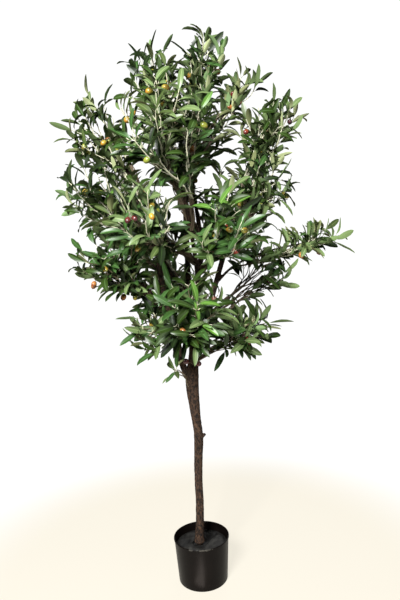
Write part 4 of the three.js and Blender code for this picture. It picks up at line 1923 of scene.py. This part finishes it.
def olive_pattern():
    """One olive of unit length and width along +Z from its stalk: points, faces and marks."""
    deselect_all()
    bpy.ops.mesh.primitive_uv_sphere_add(segments=14, ring_count=10, radius=0.5)
    olive = bpy.context.object
    bpy.ops.object.mode_set(mode="EDIT")
    bpy.ops.mesh.select_mode(type="VERT")
    # A small point at the tip, and a dimple where the stalk goes in.
    select_corners(olive, lambda place: place.z > 0.49)
    bpy.ops.transform.translate(value=(0, 0, OLIVE_POINT))
    select_corners(olive, lambda place: place.z < -0.49)
    bpy.ops.transform.translate(value=(0, 0, OLIVE_DIMPLE))
    bpy.ops.object.mode_set(mode="OBJECT")
    points = np.array([corner.co for corner in olive.data.vertices])
    points[:, 2] += 0.5
    faces = [list(polygon.vertices) for polygon in olive.data.polygons]
    heights = np.array([points[face, 2].mean() for face in faces])
    stalk_end, tip = OLIVE_ENDS
    marks = np.where(heights < stalk_end, 1, np.where(heights > tip, 2, 0))
    bpy.data.objects.remove(olive)
    return points, faces, marks


def lacquered_olive(kind):
    # Moulded foam fruit under clear lacquer: a deep colour with a small sharp highlight.
    return [
        principled(
            f"lacquered_olive_{kind}_{part}",
            {"Base Color": colour(code), "Roughness": 0.3, "IOR": 1.47, "Coat Weight": 0.3},
        )[0]
        for part, code in zip(OLIVE_PARTS, OLIVE_KINDS[kind][2:])
    ]


class OLIVE_OT_olives(Operator):
    """Hangs the olives on their stalks, joined into one piece"""

    bl_idname = "olive.olives"
    bl_label = "Olives"

    def execute(self, context):
        settings = context.scene.olive_foliage
        crown = grown_crown(settings)
        points, faces, marks = olive_pattern()
        all_points, all_faces, all_marks = [], [], []
        for olive in crown["olives"]:
            side = across(olive["way"])
            other = np.cross(olive["way"], side)
            width = settings.olive_width * olive["size"]
            length = settings.olive_length * olive["size"]
            start = len(all_points)
            all_points.extend(
                olive["place"]
                + x * width * side
                + y * width * other
                + (z * length - STALK_SINK) * olive["way"]
                for x, y, z in points
            )
            all_faces.extend([start + corner for corner in face] for face in faces)
            all_marks.extend(olive["kind"] * len(OLIVE_PARTS) + marks)
        piece = mesh_object("olives", all_points, all_faces, all_marks)
        materials = [material for kind in OLIVE_KINDS for material in lacquered_olive(kind)]
        finish_piece(piece, "olives", materials, [], 60)
        return {"FINISHED"}


# ---------------------------------------------------------------- panel and registration


class OLIVE_PT_tree(Panel):
    """Lists the tree's pieces in the order they are built"""

    bl_label = "Olive tree"
    bl_idname = "OLIVE_PT_tree"
    bl_space_type = "VIEW_3D"
    bl_region_type = "UI"
    bl_category = "Olive tree"

    def draw(self, context):
        for operator in OPERATORS:
            self.layout.operator(operator.bl_idname)
        for name, group in SETTINGS.items():
            box = self.layout.box()
            for setting in group.__annotations__:
                box.prop(getattr(context.scene, name), setting)


SETTINGS = {
    "olive_stage": OliveStageSettings,
    "olive_pot": OlivePotSettings,
    "olive_filling": OliveFillingSettings,
    "olive_bark": OliveBarkSettings,
    "olive_foliage": OliveFoliageSettings,
}
OPERATORS = (
    OLIVE_OT_stage,
    OLIVE_OT_pot,
    OLIVE_OT_filling,
    OLIVE_OT_bark,
    OLIVE_OT_stems,
    OLIVE_OT_leaves,
    OLIVE_OT_olives,
)


def register():
    for group in (*SETTINGS.values(), *OPERATORS, OLIVE_PT_tree):
        bpy.utils.register_class(group)
    for name, group in SETTINGS.items():
        setattr(bpy.types.Scene, name, PointerProperty(type=group))


def unregister():
    for name in SETTINGS:
        delattr(bpy.types.Scene, name)
    for group in (OLIVE_PT_tree, *OPERATORS, *SETTINGS.values()):
        bpy.utils.unregister_class(group)


def main():
    register()
    bpy.ops.olive.stage()
    bpy.ops.olive.pot()
    bpy.ops.olive.filling()
    bpy.ops.olive.bark()
    bpy.ops.olive.stems()
    bpy.ops.olive.leaves()
    bpy.ops.olive.olives()


if __name__ == "__main__":
    main()
